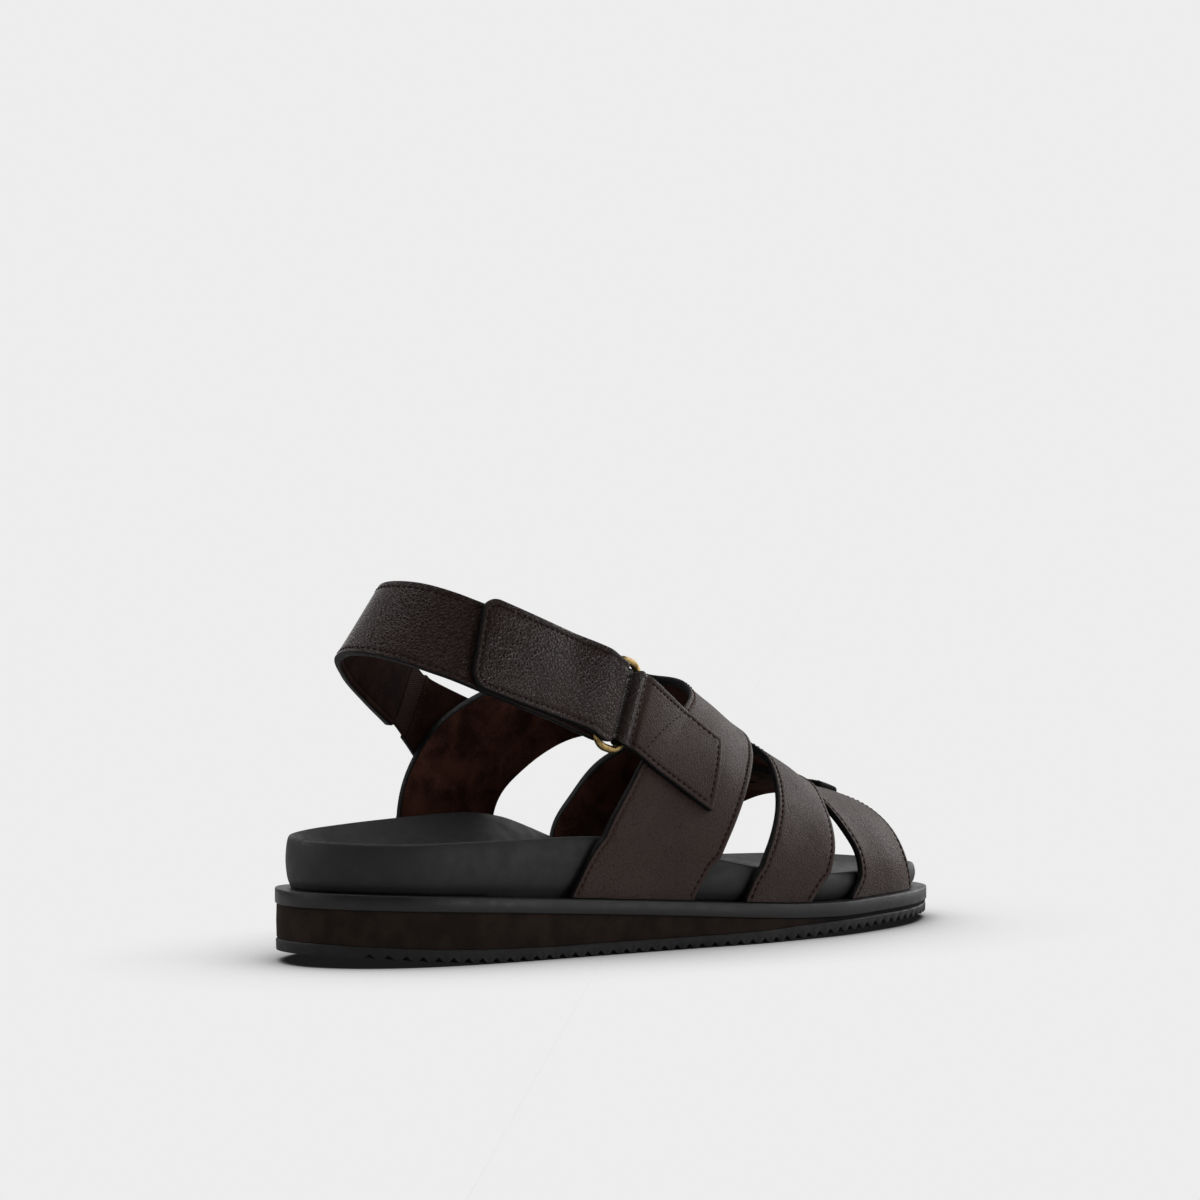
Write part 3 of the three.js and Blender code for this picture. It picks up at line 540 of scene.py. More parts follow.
def strap_surface(strap):
    rear, front = (soften(curve(strap["turns"], strap[key]), STRAP_SOFTNESS) for key in ("rear", "front"))
    return lambda s, q, h: over_foot(lerp(rear(s), front(s), q), s, strap_lift(strap, s) + h)


def sheet_surface(rows, thick):
    """Surface through a dense grid of points along the middle of a strip's thickness."""
    along = np.gradient(rows, axis=0)
    across = np.gradient(rows, axis=1)
    normals = unit(np.cross(across, along))
    length = running_length(rows.mean(1))
    columns = rows.shape[1] - 1

    def place(s, q, h):
        s, q, h = np.broadcast_arrays(np.asarray(s, float), q, h)
        at_row = np.interp(s, length, np.arange(len(length)))
        at_column = np.clip(q, 0, 1) * columns
        i = np.clip(at_row.astype(int), 0, len(length) - 2)
        j = np.clip(at_column.astype(int), 0, columns - 1)
        u, v = (at_row - i)[..., None], (at_column - j)[..., None]

        def mixed(grid):
            return lerp(lerp(grid[i, j], grid[i + 1, j], u), lerp(grid[i, j + 1], grid[i + 1, j + 1], u), v)

        return mixed(rows) + mixed(normals) * (h - thick / 2)[..., None]

    return place, length[-1]


def ways_along(place, s, thick):
    """Millimetres along the middle of a strip, from its start, at each s."""
    return running_length(place(s, 0.5, thick / 2))


def strip_stations(place, span, thick, step, corners):
    """Values of s at even steps along a strip, closer together at an end with round corners."""
    s = np.linspace(*span, 500)
    way = ways_along(place, s, thick)
    past_edge = np.arange(EDGE_INSETS[-1] + CORNER_STEP, max(corners) + CORNER_STEP, CORNER_STEP)
    fine = np.concatenate([EDGE_INSETS, past_edge])
    start = fine if corners[0] else np.zeros(1)
    end = fine if corners[1] else np.zeros(1)
    plain = way[-1] - start[-1] - end[-1]
    even = np.linspace(start[-1], start[-1] + plain, int(plain / step) + 1)
    return np.interp(np.concatenate([start[:-1], even, way[-1] - end[-2::-1]]), way, s)


def edge_scales(place, s, thick):
    """Millimetres of width per share of the width, square to each edge of a strip."""
    step = 0.02
    scales = []
    for q, towards in ((0.0, step), (1.0, 1 - step)):
        edge = place(s, q, thick / 2)
        along = unit(np.gradient(edge, s, axis=0))
        across = (place(s, towards, thick / 2) - edge) / step
        across = across - np.sum(across * along, -1, keepdims=True) * along
        scales.append(np.linalg.norm(across, axis=-1))
    return np.stack(scales, -1)


def strip_grid(place, s, thick, interior, corners):
    """Values of s, shares across and distances to the edge for the grid of points on a strip."""
    insets = np.array(EDGE_INSETS)
    scales = edge_scales(place, s, thick)
    rest = np.linspace(0, 1, interior + 2)[1:-1]
    near = insets / scales[:, :1]
    far = 1 - insets[::-1] / scales[:, 1:]
    q = np.hstack([near, lerp(near[:, -1:], far[:, :1], rest), far])
    inset = np.minimum(q * scales[:, :1], (1 - q) * scales[:, 1:])
    way = ways_along(place, s, thick)
    straight = np.repeat(way[:, None], q.shape[1], 1)
    moved_way, moved_q, distance = straight.copy(), q.copy(), inset.copy()
    for corner, end, inward in ((corners[0], 0, 1), (corners[1], way[-1], -1)):
        if not corner:
            continue
        from_end = inward * (straight - end)
        u = np.clip(1 - from_end / corner, 0, 1)
        v = np.clip(1 - inset / corner, 0, 1)
        u_round = u * np.sqrt(1 - v * v / 2)
        v_round = v * np.sqrt(1 - u * u / 2)
        sideways = corner * (v - v_round)
        moved_way += inward * corner * (u - u_round)
        moved_q += np.where(q > 0.5, -sideways / scales[:, 1:], sideways / scales[:, :1])
        in_corner = corner * (1 - np.hypot(u_round, v_round))
        to_edge = np.where((u > 0) & (v > 0), in_corner, np.minimum(inset, from_end))
        distance = np.minimum(distance, to_edge)
    return np.interp(moved_way, way, s), moved_q, distance


def rounding(distance, radius):
    """How far a rounded edge drops below the face it belongs to."""
    near = np.clip(radius - distance, 0, radius)
    return radius - np.sqrt(radius ** 2 - near ** 2)


def groove(distance):
    return STITCH["groove"] * np.exp(-(((distance - STITCH["inset"]) / STITCH["spread"]) ** 2))


def add_strip(name, place, span, thick, materials, step=1.3, interior=14, corners=(0, 0), grooves=(1, 0),
              relief=None, kinds=None):
    """A closed strip with rounded edges. relief gives the height added to its outer and inner face."""
    s = strip_stations(place, span, thick, step, corners)
    along, q, distance = strip_grid(place, s, thick, interior, corners)
    outer = thick - rounding(distance, EDGE_OUT) - grooves[0] * groove(distance)
    inner = rounding(distance, EDGE_IN) + grooves[1] * groove(distance)
    if relief is not None:
        raised, sunk = relief(along, q, distance)
        outer = outer + raised
        inner = inner + sunk
    rows, columns = q.shape
    points = np.vstack([place(along, q, outer).reshape(-1, 3), place(along, q, inner).reshape(-1, 3)])
    index = np.arange(rows * columns).reshape(rows, columns)
    top = np.stack([index[:-1, :-1], index[:-1, 1:], index[1:, 1:], index[1:, :-1]], -1).reshape(-1, 4)
    border = np.concatenate([index[0, :-1], index[:-1, -1], index[-1, :0:-1], index[:0:-1, 0]])
    following = np.roll(border, -1)
    lower = rows * columns
    wall = np.stack([following, border, border + lower, following + lower], -1)
    quads = np.vstack([top, top[:, ::-1] + lower, wall])
    from_edge = (distance[:-1, :-1] + distance[1:, 1:]).reshape(-1) / 2
    middle = (along[:-1, :-1] + along[1:, 1:]).reshape(-1) / 2
    outer_kind, inner_kind = kinds(middle) if kinds else (LEATHER, LINING)
    outer_kinds = np.where(from_edge < PAINTED, EDGE, outer_kind)
    inner_kinds = np.where(from_edge < PAINTED, EDGE, inner_kind)
    all_kinds = np.concatenate([outer_kinds, inner_kinds, np.full(len(wall), EDGE)])
    return add_object(name, points, quads, all_kinds, materials, 50)


def stitch_points(place, s, q, height, outward=1):
    """Points of a line of stitches on a surface, with the direction out of it."""
    base = place(s, q, height)
    return base, unit(place(s, q, height + outward) - base)


def edge_lines(place, s, thick, height=None):
    """The lines of stitches beside the near and the far edge of a strip."""
    near, far = STITCH["inset"] / edge_scales(place, s, thick).T
    return [stitch_points(place, s, q, thick if height is None else height) for q in (near, 1 - far)]


def add_stitches(name, lines, material):
    """Short bent tubes, one for each stitch, along every line of points and outward directions."""
    sides, rings = STITCH_SIDES, len(STITCH_RISES)
    rises = STITCH_RISES - STITCH["groove"] * STITCH_SINK
    radii = STITCH["radius"] * STITCH_WIDTHS
    angles = np.arange(sides) * 2 * math.pi / sides
    points, quads = [], []
    for base, out in lines:
        length = running_length(base)
        starts = np.arange(STITCH["pitch"] / 2, length[-1] - STITCH["pitch"], STITCH["pitch"])
        at = starts[:, None] + np.linspace(0, STITCH["length"], rings)
        centre = rows_at(at, length, base)
        normal = unit(rows_at(at, length, out))
        along = unit(np.gradient(centre, axis=1))
        across = unit(np.cross(normal, along))
        centre = centre + normal * rises[None, :, None]
        ring = across[:, :, None] * np.cos(angles)[:, None] + normal[:, :, None] * np.sin(angles)[:, None]
        tube = centre[:, :, None] + ring * radii[None, :, None, None]
        first = sum(len(p) for p in points)
        points.append(tube.reshape(-1, 3))
        one = loft_quads(rings, sides)
        caps = np.array([[0, 1, 2, 3], [0, 3, 4, 5]])
        stitch = np.vstack([one, caps[:, ::-1], caps + (rings - 1) * sides])
        offsets = first + np.arange(len(starts)) * sides * rings
        quads.append((offsets[:, None, None] + stitch).reshape(-1, 4))
    stitches = add_object(name, np.vstack(points), np.vstack(quads), 0, [material])


def centripetal(points, count):
    """A smooth line through points, each stretch in count steps, with each step's share of the way."""
    points = np.asarray(points, float)
    shape = points.shape[1:]
    flat = points.reshape(len(points), -1)
    ends = np.vstack([2 * flat[0] - flat[1], flat, 2 * flat[-1] - flat[-2]])
    knots = np.linalg.norm(np.diff(ends, axis=0), axis=-1) ** 0.5
    t = np.linspace(0, 1, count, endpoint=False)[:, None]
    line = []
    for i in range(len(flat) - 1):
        p0, p1, p2, p3 = ends[i:i + 4]
        k0, k1, k2 = knots[i:i + 3]
        m1 = ((p1 - p0) / k0 - (p2 - p0) / (k0 + k1) + (p2 - p1) / k1) * k1
        m2 = ((p2 - p1) / k1 - (p3 - p1) / (k1 + k2) + (p3 - p2) / k2) * k1
        square = 3 * (p2 - p1) - 2 * m1 - m2
        cube = 2 * (p1 - p2) + m1 + m2
        line.append(p1 + m1 * t + square * t ** 2 + cube * t ** 3)
    line.append(flat[-1:])
    line = np.vstack(line)
    return line.reshape((len(line),) + shape), np.linspace(0, 1, len(line))


HEEL_FOLD = (
    RING_MIDDLE
    + RING_BACK * (RING["half_width"] - FLAP["slack"])
    + RING_ALONG * FLAP["sits_higher"]
)


def heel_frames():
    """Dense frames along the heel strap, from the ring: distances, places, widths and outward directions."""
    start = HEEL_FOLD - RING_OUT * (RING["wire"] + GAP + HEEL_STRAP["thick"] / 2)
    rows = np.stack([HEEL_LINE["x"], HEEL_LINE["y"], HEEL_LINE["z"]], -1)
    line, share = centripetal(np.vstack([start, rows]), 60)
    along = unit(np.gradient(line, axis=0))
    level_side = unit(np.stack([-along[:, 1], along[:, 0], 0 * along[:, 0]], -1))
    leans = (0,) + HEEL_LINE["lean"]
    lean = np.radians(curve(np.linspace(0, 1, len(leans)), leans)(share))[:, None]
    across = unit(np.cross(along, level_side) * np.cos(lean) - level_side * np.sin(lean))
    return running_length(line), line, across, unit(np.cross(across, along))


HEEL_DISTANCE, HEEL_PLACE, HEEL_ACROSS, HEEL_OUT = heel_frames()


def heel_frame(distance):
    place, across, out = (
        rows_at(distance, HEEL_DISTANCE, rows) for rows in (HEEL_PLACE, HEEL_ACROSS, HEEL_OUT)
    )
    return place, unit(across), unit(out)


def heel_distance_at(x):
    """Distance along the heel strap, past its rearmost bend, where it reaches x."""
    past = slice(np.argmin(HEEL_PLACE[:, 0]), None)
    return float(np.interp(x, HEEL_PLACE[past, 0], HEEL_DISTANCE[past]))


INSERT_START = heel_distance_at(STRETCH_INSERT["from_x"])
INSERT_END = heel_distance_at(STRETCH_INSERT["to_x"])


def straight_rows(places, across, half, columns=1):
    shares = np.linspace(-1, 1, columns + 1)
    half = np.broadcast_to(half, (len(places),))
    return places[:, None] + across[:, None] * (half[:, None] * shares)[..., None]


def fold_rows(bar, towards, half, thick, room, columns=1, count=25, squareness=1.0, waist=0.0):
    """Fold of a strip round a bar of the ring, with some room, from its outer side to its inner side.

    The waist is what each of its edges is drawn in by halfway round.
    """
    radius = RING["wire"] + room + thick / 2
    angle = np.linspace(0, math.pi, count)[:, None]
    outward = np.sign(np.cos(angle)) * np.abs(np.cos(angle)) ** squareness
    forward = np.abs(np.sin(angle)) ** squareness
    places = bar + RING_OUT * radius * outward + towards * radius * forward
    drawn_in = half - waist * np.sin(angle[:, 0]) ** 4
    return straight_rows(places, np.repeat(RING_ALONG[None], count, 0), drawn_in, columns)


def widening(distance, full):
    """Half widths of the flap and the strap, which widen evenly from the ring on."""
    return lerp(HEEL_STRAP["half_by_ring"], full, np.clip(distance / FLAP["length"], 0, 1))


def heel_strap_rows():
    """The flap, its fold round the ring, and the strap on from there, with the length of the flap's part."""
    thick = HEEL_STRAP["thick"]
    step, fold_reach = 0.5, 1.0
    distance = np.arange(FLAP["length"], fold_reach, -step)
    place, across, out = heel_frame(distance)
    fold_gap = 2 * (RING["wire"] + GAP) + thick
    settled = smooth(FLAP["settles_from"], FLAP["settles"], distance)[:, None]
    rise = FLAP["rise"] * smooth(0, FLAP["rises_over"], distance)[:, None]
    place = place + out * lerp(fold_gap, thick + FLAP["gap"] / 2, settled) + across * rise
    flap = straight_rows(place, across, widening(distance, FLAP["half"]))
    slant = FLAP["slant"] * smooth(FLAP["length"] - FLAP["slant_over"], FLAP["length"], distance)
    shift = np.cross(out, across) * slant[:, None]
    flap = flap + np.stack([-shift, shift], 1)
    half, waist = HEEL_STRAP["half_by_ring"], HEEL_STRAP["waist"]
    fold = fold_rows(HEEL_FOLD, -RING_BACK, half, thick, GAP, squareness=FOLD_SQUARENESS, waist=waist)
    distance = np.arange(fold_reach, INSERT_START, step)
    place, across, _ = heel_frame(distance)
    narrowed = smooth(INSERT_START - HEEL_STRAP["narrows"], INSERT_START, distance)
    half = lerp(widening(distance, HEEL_STRAP["half"]), HEEL_STRAP["half_at_insert"], narrowed)
    strap = straight_rows(place, across, half)
    return np.concatenate([flap, fold, strap]), len(flap) * step


def even_rows(rows, step=0.5, blur=3):
    """The rows at even steps along the strip, with their kinks smoothed."""
    length = running_length(rows.mean(1))
    at = np.linspace(0, length[-1], int(length[-1] / step) + 1)
    even = rows_at(at, length, rows.reshape(len(rows), -1))
    for _ in range(blur):
        even[1:-1] = (even[:-2] + 2 * even[1:-1] + even[2:]) / 4
    return even.reshape((len(even),) + rows.shape[1:])


def rows_on_strap(tab, steps=12, columns=12):
    """Rows of a tab where it lies on the rear strap, bent across as the strap is."""
    knots = np.arange(3)
    at = np.linspace(0, 2, steps + 1)
    column = {key: np.interp(at, knots, tab[key])[:, None] for key in tab if isinstance(tab[key], tuple)}
    share = np.linspace(0, 1, columns + 1)
    x = lerp(column["lower_x"], column["upper_x"], share)
    turn = lerp(column["lower_turn"], column["upper_turn"], share)
    lift = strap_lift(STRAPS["rear_strap"], turn)
    return over_foot(x, turn, lift + STRAP_WALL + TAB_GAP + TAB_THICK / 2)


def soft_bump(value, centre, spread):
    return np.exp(-(((value - centre) / spread) ** 2))


def crease_depth(turn, q, crease):
    """Depth of a soft trough along a line between two places on a strap."""
    start, end = (np.array(crease[key]) * CREASE_SCALE for key in ("from", "to"))
    place = np.stack([turn, q], -1) * CREASE_SCALE
    share = np.clip((place - start) @ (end - start) / np.sum((end - start) ** 2), 0, 1)
    away = np.linalg.norm(place - start - share[..., None] * (end - start), axis=-1)
    return crease["depth"] * soft_bump(away, 0, crease["spread"])


def strap_relief(name):
    """Heights added to a strap's faces: a gentle swelling outside and creases in the lining."""
    height, first, second = STRAP_SWELL[name]

    def relief(turn, q, distance):
        waves = [np.sin(turn * per_turn + q * per_share) for per_turn, per_share in (first, second)]
        creases = sum(crease_depth(turn, q, crease) for crease in LINING_CREASES.get(name, ()))
        fade = smooth(0, SWELL_FADE, distance)
        return height * waves[0] * waves[1] * fade, creases * fade

    return relief


def add_upper(materials, dark_thread, light_thread):
    """The straps over the foot. The rear strap's rear edge is sewn with a lighter thread."""
    dark_lines, light_lines = [], []
    for name, strap in STRAPS.items():
        place = strap_surface(strap)
        span = strap["turns"][0], strap["turns"][-1]
        corners = (INNER_BAND_CORNER if span[0] > -1 else 0, 0)
        strip = add_strip(name, place, span, STRAP_WALL, materials, corners=corners,
                          relief=strap_relief(name))
        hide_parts("upper")
        rear, front = edge_lines(place, np.linspace(*span, 200), STRAP_WALL)
        (light_lines if name == "rear_strap" else dark_lines).append(rear)
        dark_lines.append(front)
    add_stitches("strap_stitches", dark_lines, dark_thread)
    add_stitches("rear_edge_stitches", light_lines, light_thread)


def flap_path(place, flap_end):
    """The line of stitches round the flap: along its lower edge, round its end and back."""
    inset, corner = STITCH["inset"], FLAP["corner"]
    radius = corner - inset
    quarter = np.linspace(0, math.pi / 2, 12)
    side = np.linspace(flap_end, corner, 60)
    scales = edge_scales(place, np.linspace(0, flap_end, 80), HEEL_STRAP["thick"])
    width = float(scales[0, 0])
    into_end = corner - radius * np.sin(quarter)
    out_of_end = corner - radius * np.cos(quarter)
    s = [side, into_end, np.full(30, inset), out_of_end, side[::-1]]
    low = np.interp(side, np.linspace(0, flap_end, 80), inset / scales[:, 0])
    across = np.linspace(corner / width, 1 - corner / width, 30)
    q = [low, out_of_end / width, across, 1 - into_end / width, 1 - low[::-1]]
    return np.concatenate(s), np.concatenate(q)


def add_heel_strap(materials, thread):
    thick = HEEL_STRAP["thick"]
    rows, flap_length = heel_strap_rows()
    place, length = sheet_surface(even_rows(rows), thick)
    turned = lambda s, q, h: place(s, q, thick - h)
    kinds = lambda s: (np.where(s < HEEL_STRAP["lining_from"], LEATHER, LINING), LEATHER)

    def bulge(s, q, distance):
        along = soft_bump(flap_length - s, FLAP_BULGE["distance"], FLAP_BULGE["reach"])
        across = soft_bump(q, FLAP_BULGE["share"], FLAP_BULGE["spread"])
        return FLAP_BULGE["height"] * along * across * smooth(0, FLAP_BULGE["fade"], distance), 0

    strap = add_strip("heel_strap_leather", turned, (0, length), thick, materials, step=1.2, interior=16,
                      corners=(FLAP["corner"], HEEL_STRAP["corner"]), grooves=(1, 1), kinds=kinds,
                      relief=bulge)
    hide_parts("heel_strap")
    s, q = flap_path(turned, flap_length - HEEL_SEAMS["from_ring"])
    lines = [stitch_points(turned, s, q, thick)]
    past = np.linspace(flap_length + HEEL_SEAMS["past_flap"], length - HEEL_SEAMS["from_end"], 220)
    lines += edge_lines(place, past, thick)
    add_stitches("heel_strap_stitches", lines, thread)


def add_stretch_insert(material):
    tucked, thick = STRETCH_INSERT["tucked"], STRETCH_INSERT["thick"]
    distance = np.linspace(INSERT_START - tucked, INSERT_END + tucked, 24)
    places, across, _ = heel_frame(distance)
    place, length = sheet_surface(straight_rows(places, across, STRETCH_INSERT["half"]), thick)
    insert = add_strip("stretch_tape", place, (0, length), thick, [material] * 3, grooves=(0, 0))
    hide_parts("stretch_insert")


def add_inner_tab(materials, thread):
    place_at, across, _ = heel_frame(INSERT_END + np.array((GAP, INNER_TAB["straight"])))
    start = straight_rows(place_at, across, INNER_TAB["half"], 12)
    rows, _ = centripetal(np.concatenate([start, rows_on_strap(INNER_TAB)[1:]]), 12)
    place, length = sheet_surface(even_rows(rows), TAB_THICK)
    tab = add_strip("inner_tab_leather", place, (0, length), TAB_THICK, materials, step=0.8)
    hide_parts("inner_tab")
    lines = edge_lines(place, np.linspace(0, length, 70), TAB_THICK)
    cross, level_line = INNER_TAB_CROSS, np.ones(len(INNER_TAB_CROSS))
    lines.append(stitch_points(place, level_line * (length - STITCH["inset"]), cross, TAB_THICK))
    lines.append(stitch_points(place, level_line * STITCH["inset"], cross, 0, -1))
    add_stitches("inner_tab_stitches", lines, thread)


def add_ring_tab(materials, thread):
    """The tab on the rear strap, rolled round the ring's front bar."""
    on_strap = rows_on_strap(RING_TAB)
    bar = RING_MIDDLE - RING_BACK * RING["half_width"] + RING_ALONG * RING_TAB["sits_higher"]
    half, waist, room = (RING_TAB[key] for key in ("half", "waist", "room"))
    fold = fold_rows(bar, RING_BACK, half, TAB_THICK, room, columns=12, count=9, waist=waist)
    tail = fold[-1:] - RING_BACK * RING_TAB["tail"]
    rows, _ = centripetal(np.concatenate([on_strap, fold, tail]), 12)
    place, length = sheet_surface(even_rows(rows), TAB_THICK)
    around = math.pi * (RING["wire"] + RING_TAB["room"] + TAB_THICK / 2)
    sewn = length - RING_TAB["tail"] - around
    seam = sewn * RING_TAB_SEAMS[-1][0]

    def trough(s):
        return ROLL_TROUGH["depth"] * soft_bump(s, seam, ROLL_TROUGH["spread"])

    kinds = lambda s: (np.where(s < seam, LEATHER, ROLL), LEATHER)
    relief = lambda s, q, distance: (-trough(s), 0)
    tab = add_strip("ring_tab_leather", place, (0, length), TAB_THICK, materials, step=0.6,
                    corners=(RING_TAB["corner"], 0), kinds=kinds, relief=relief)
    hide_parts("ring_tab")
    s = np.linspace(STITCH["inset"], seam, 80)
    lines = edge_lines(place, s, TAB_THICK, TAB_THICK - trough(s))
    for low_edge, high_edge in RING_TAB_SEAMS:
        s = lerp(low_edge, high_edge, RING_TAB_CROSS) * sewn
        lines.append(stitch_points(place, s, RING_TAB_CROSS, TAB_THICK - trough(s)))
    add_stitches("ring_tab_stitches", lines, thread)


def add_ring(material):
    """A rounded oblong of round brass wire."""
    steps = np.linspace(0, 1, RING_STEPS["quarter"])
    turns = (np.arange(4)[:, None, None] + steps[:, None]) * math.pi / 2
    outwards = (RING_ALONG * np.cos(turns) + RING_BACK * np.sin(turns)).reshape(-1, 3)
    signs = np.repeat(((1, 1), (-1, 1), (-1, -1), (1, -1)), len(steps), axis=0)
    straight_length = RING["half_length"] - RING["corner"]
    straight_width = RING["half_width"] - RING["corner"]
    corners = RING_ALONG * signs[:, :1] * straight_length + RING_BACK * signs[:, 1:] * straight_width
    centres = RING_MIDDLE + corners + outwards * RING["corner"]
    around = np.arange(RING_STEPS["around"]) * 2 * math.pi / RING_STEPS["around"]
    wire = outwards[:, None] * np.cos(around)[:, None] + RING_OUT * np.sin(around)[:, None]
    loops = centres[:, None] + RING["wire"] * wire
    closed = np.concatenate([loops, loops[:1]])
    quads = loft_quads(len(closed), len(around)) % (len(loops) * len(around))
    ring = add_object("brass_ring", loops.reshape(-1, 3), quads, 0, [material])
    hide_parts("ring")


class NodeTree:
    """The nodes of a material or a world."""

    def __init__(self, owner):
        owner.use_nodes = True
        self.nodes = owner.node_tree.nodes
        self.links = owner.node_tree.links

    def fill(self, node, inputs):
        for key, value in inputs.items():
            if isinstance(value, bpy.types.NodeSocket):
                self.links.new(value, node.inputs[key])
            else:
                node.inputs[key].default_value = value

    def node(self, kind, inputs=None, **settings):
        made = self.nodes.new(kind)
        for key, value in settings.items():
            setattr(made, key, value)
        self.fill(made, inputs or {})
        return made


class Finish(NodeTree):
    """One procedural material, whose patterns are in the sandal's own space."""

    def __init__(self, name, **sockets):
        self.material = bpy.data.materials.new(name)
        super().__init__(self.material)
        self.surface = self.nodes["Principled BSDF"]
        self.space = self.node("ShaderNodeTexCoord").outputs["Object"]
        self.fill(self.surface, {socket.replace("_", " "): value for socket, value in sockets.items()})

    def noise(self, scale, detail=3.0, vector=None, distortion=0.0):
        values = {"Vector": vector or self.space, "Scale": scale, "Detail": detail, "Distortion": distortion}
        return self.node("ShaderNodeTexNoise", values).outputs["Fac"]

    def cells(self, scale, feature="SMOOTH_F1", vector=None):
        values = {"Vector": vector or self.space, "Scale": scale}
        if feature == "SMOOTH_F1":
            values["Smoothness"] = 0.4
        return self.node("ShaderNodeTexVoronoi", values, feature=feature).outputs["Distance"]

    def warped(self, scale, amount):
        """The sandal's space, pushed about by a noise."""
        values = {"Vector": self.space, "Scale": scale, "Detail": 2.0}
        push = self.node("ShaderNodeTexNoise", values).outputs["Color"]
        scaled = self.node("ShaderNodeVectorMath", {0: push, "Scale": amount}, operation="SCALE").outputs[0]
        return self.node("ShaderNodeVectorMath", {0: self.space, 1: scaled}, operation="ADD").outputs[0]

    def math(self, operation, a, b=0.0):
        return self.node("ShaderNodeMath", {0: a, 1: b}, operation=operation).outputs[0]

    def range(self, value, low, high, new_low=0.0, new_high=1.0):
        values = {"Value": value, 1: low, 2: high, 3: new_low, 4: new_high}
        return self.node("ShaderNodeMapRange", values, interpolation_type="SMOOTHSTEP").outputs[0]

    def mix(self, share, a, b):
        mixed = self.node("ShaderNodeMix", {0: share, 6: a, 7: b}, data_type="RGBA")
        return mixed.outputs[2]

    def bump(self, height, distance, strength=1.0, normal=None):
        values = {"Height": height, "Distance": distance, "Strength": strength}
        if normal is not None:
            values["Normal"] = normal
        return self.node("ShaderNodeBump", values).outputs["Normal"]

    def weighed(self, a, share_a, b, share_b):
        """The sum of two values, each times its share."""
        return self.math("ADD", self.math("MULTIPLY", a, share_a), self.math("MULTIPLY", b, share_b))

    def set(self, socket, value):
        self.fill(self.surface, {socket: value})


def rgb(red, green, blue):
    return (red, green, blue, 1.0)


def tinted(base, share):
    return rgb(*(share * value for value in base))


def leather(name, base, pebble, size, gloss, shine):
    """Dyed leather with a pebbled grain: raised cells, fine creases between them and small pores. The
    creases carry painted shade in the colour.
    """
    f = Finish(name, Specular_IOR_Level=shine)
    space = f.warped(420, 0.0011)
    cells = f.cells(1000 / size, vector=space)
    creases = f.range(f.cells(1000 / size, "DISTANCE_TO_EDGE", space), 0.0, 0.16)
    dome = f.range(cells, 0.75, 0.05)
    pores = f.noise(2600, 2.0)
    grain = f.weighed(dome, 0.5, creases, 0.5)
    tone = f.range(f.noise(45, 4.0), 0.3, 0.7)
    dyed = f.mix(tone, tinted(base, 0.85), tinted(base, 1.12))
    # Painted shade: the colour darkens along the creases between the cells.
    f.set("Base Color", f.mix(f.range(creases, 0.0, 0.8, 0.5, 0.0), dyed, tinted(base, 0.4)))
    worn = f.math("ADD", grain, f.math("MULTIPLY", pores, 0.4))
    f.set("Roughness", f.range(worn, 0.3, 1.3, gloss + 0.16, gloss - 0.04))
    rolling = f.bump(f.noise(130, 2.0), 0.0008, 0.35)
    fine = f.bump(pores, 0.00006, 0.5, rolling)
    f.set("Normal", f.bump(grain, 0.00016 * pebble, 0.9, fine))
    return f.material


def painted_edge():
    f = Finish("painted_edge", Specular_IOR_Level=0.2)
    paint = f.range(f.noise(500), 0.35, 0.7)
    f.set("Base Color", f.mix(paint, rgb(0.003, 0.0028, 0.003), rgb(0.0065, 0.006, 0.0065)))
    f.set("Roughness", f.range(f.noise(900), 0.3, 0.7, 0.45, 0.62))
    f.set("Normal", f.bump(f.noise(700, 4.0), 0.00025, 0.5))
    return f.material


def suede(name, dark, light):
    """Brushed lining: a mottled nap with a soft sheen."""
    f = Finish(name, Roughness=0.95, Specular_IOR_Level=0.1, Sheen_Weight=0.02, Sheen_Roughness=0.6,
               Sheen_Tint=rgb(0.5, 0.3, 0.22))
    patches = f.noise(90, 5.0, distortion=0.6)
    nap = f.noise(1900, 3.0)
    mottle = f.weighed(patches, 0.7, nap, 0.3)
    f.set("Base Color", f.mix(f.range(mottle, 0.36, 0.64), dark, light))
    f.set("Normal", f.bump(nap, 0.0002, 0.6, f.bump(f.noise(260, 3.0), 0.0004, 0.3)))
    return f.material


def wedge_foam():
    """Nubuck-like skin of the wedge, which darkens where it thins out under the toes."""
    f = Finish("wedge_foam", Roughness=0.95, Specular_IOR_Level=0.15)
    patches = f.noise(120, 5.0)
    nap = f.noise(1900, 3.0)
    skin = f.mix(f.range(patches, 0.36, 0.64), rgb(0.027, 0.0187, 0.0145), rgb(0.042, 0.029, 0.0223))
    along = f.node("ShaderNodeSeparateXYZ", {0: f.space}).outputs["X"]
    f.set("Base Color", f.mix(f.range(along, 0.035, 0.062), skin, rgb(0.011, 0.011, 0.0115)))
    f.set("Normal", f.bump(nap, 0.0002, 0.5))
    return f.material


def thread(name, dark, light):
    f = Finish(name, Roughness=0.75, Specular_IOR_Level=0.25)
    f.set("Base Color", f.mix(f.noise(600), dark, light))
    return f.material


def smooth_foam(name, base, roughness, grain):
    """Moulded foam or rubber: an even colour with faint clouds and a fine skin."""
    f = Finish(name, Specular_IOR_Level=0.45)
    clouds = f.weighed(f.noise(60, 4.0), 0.6, f.noise(1500, 2.0), 0.4)
    f.set("Base Color", f.mix(f.range(clouds, 0.35, 0.65), rgb(*base), tinted(base, 1.25)))
    f.set("Roughness", f.range(f.noise(220, 4.0), 0.3, 0.7, roughness - 0.05, roughness + 0.08))
    f.set("Normal", f.bump(f.noise(2200, 3.0), grain, 0.5, f.bump(f.noise(90, 2.0), 0.0006, 0.15)))
    return f.material


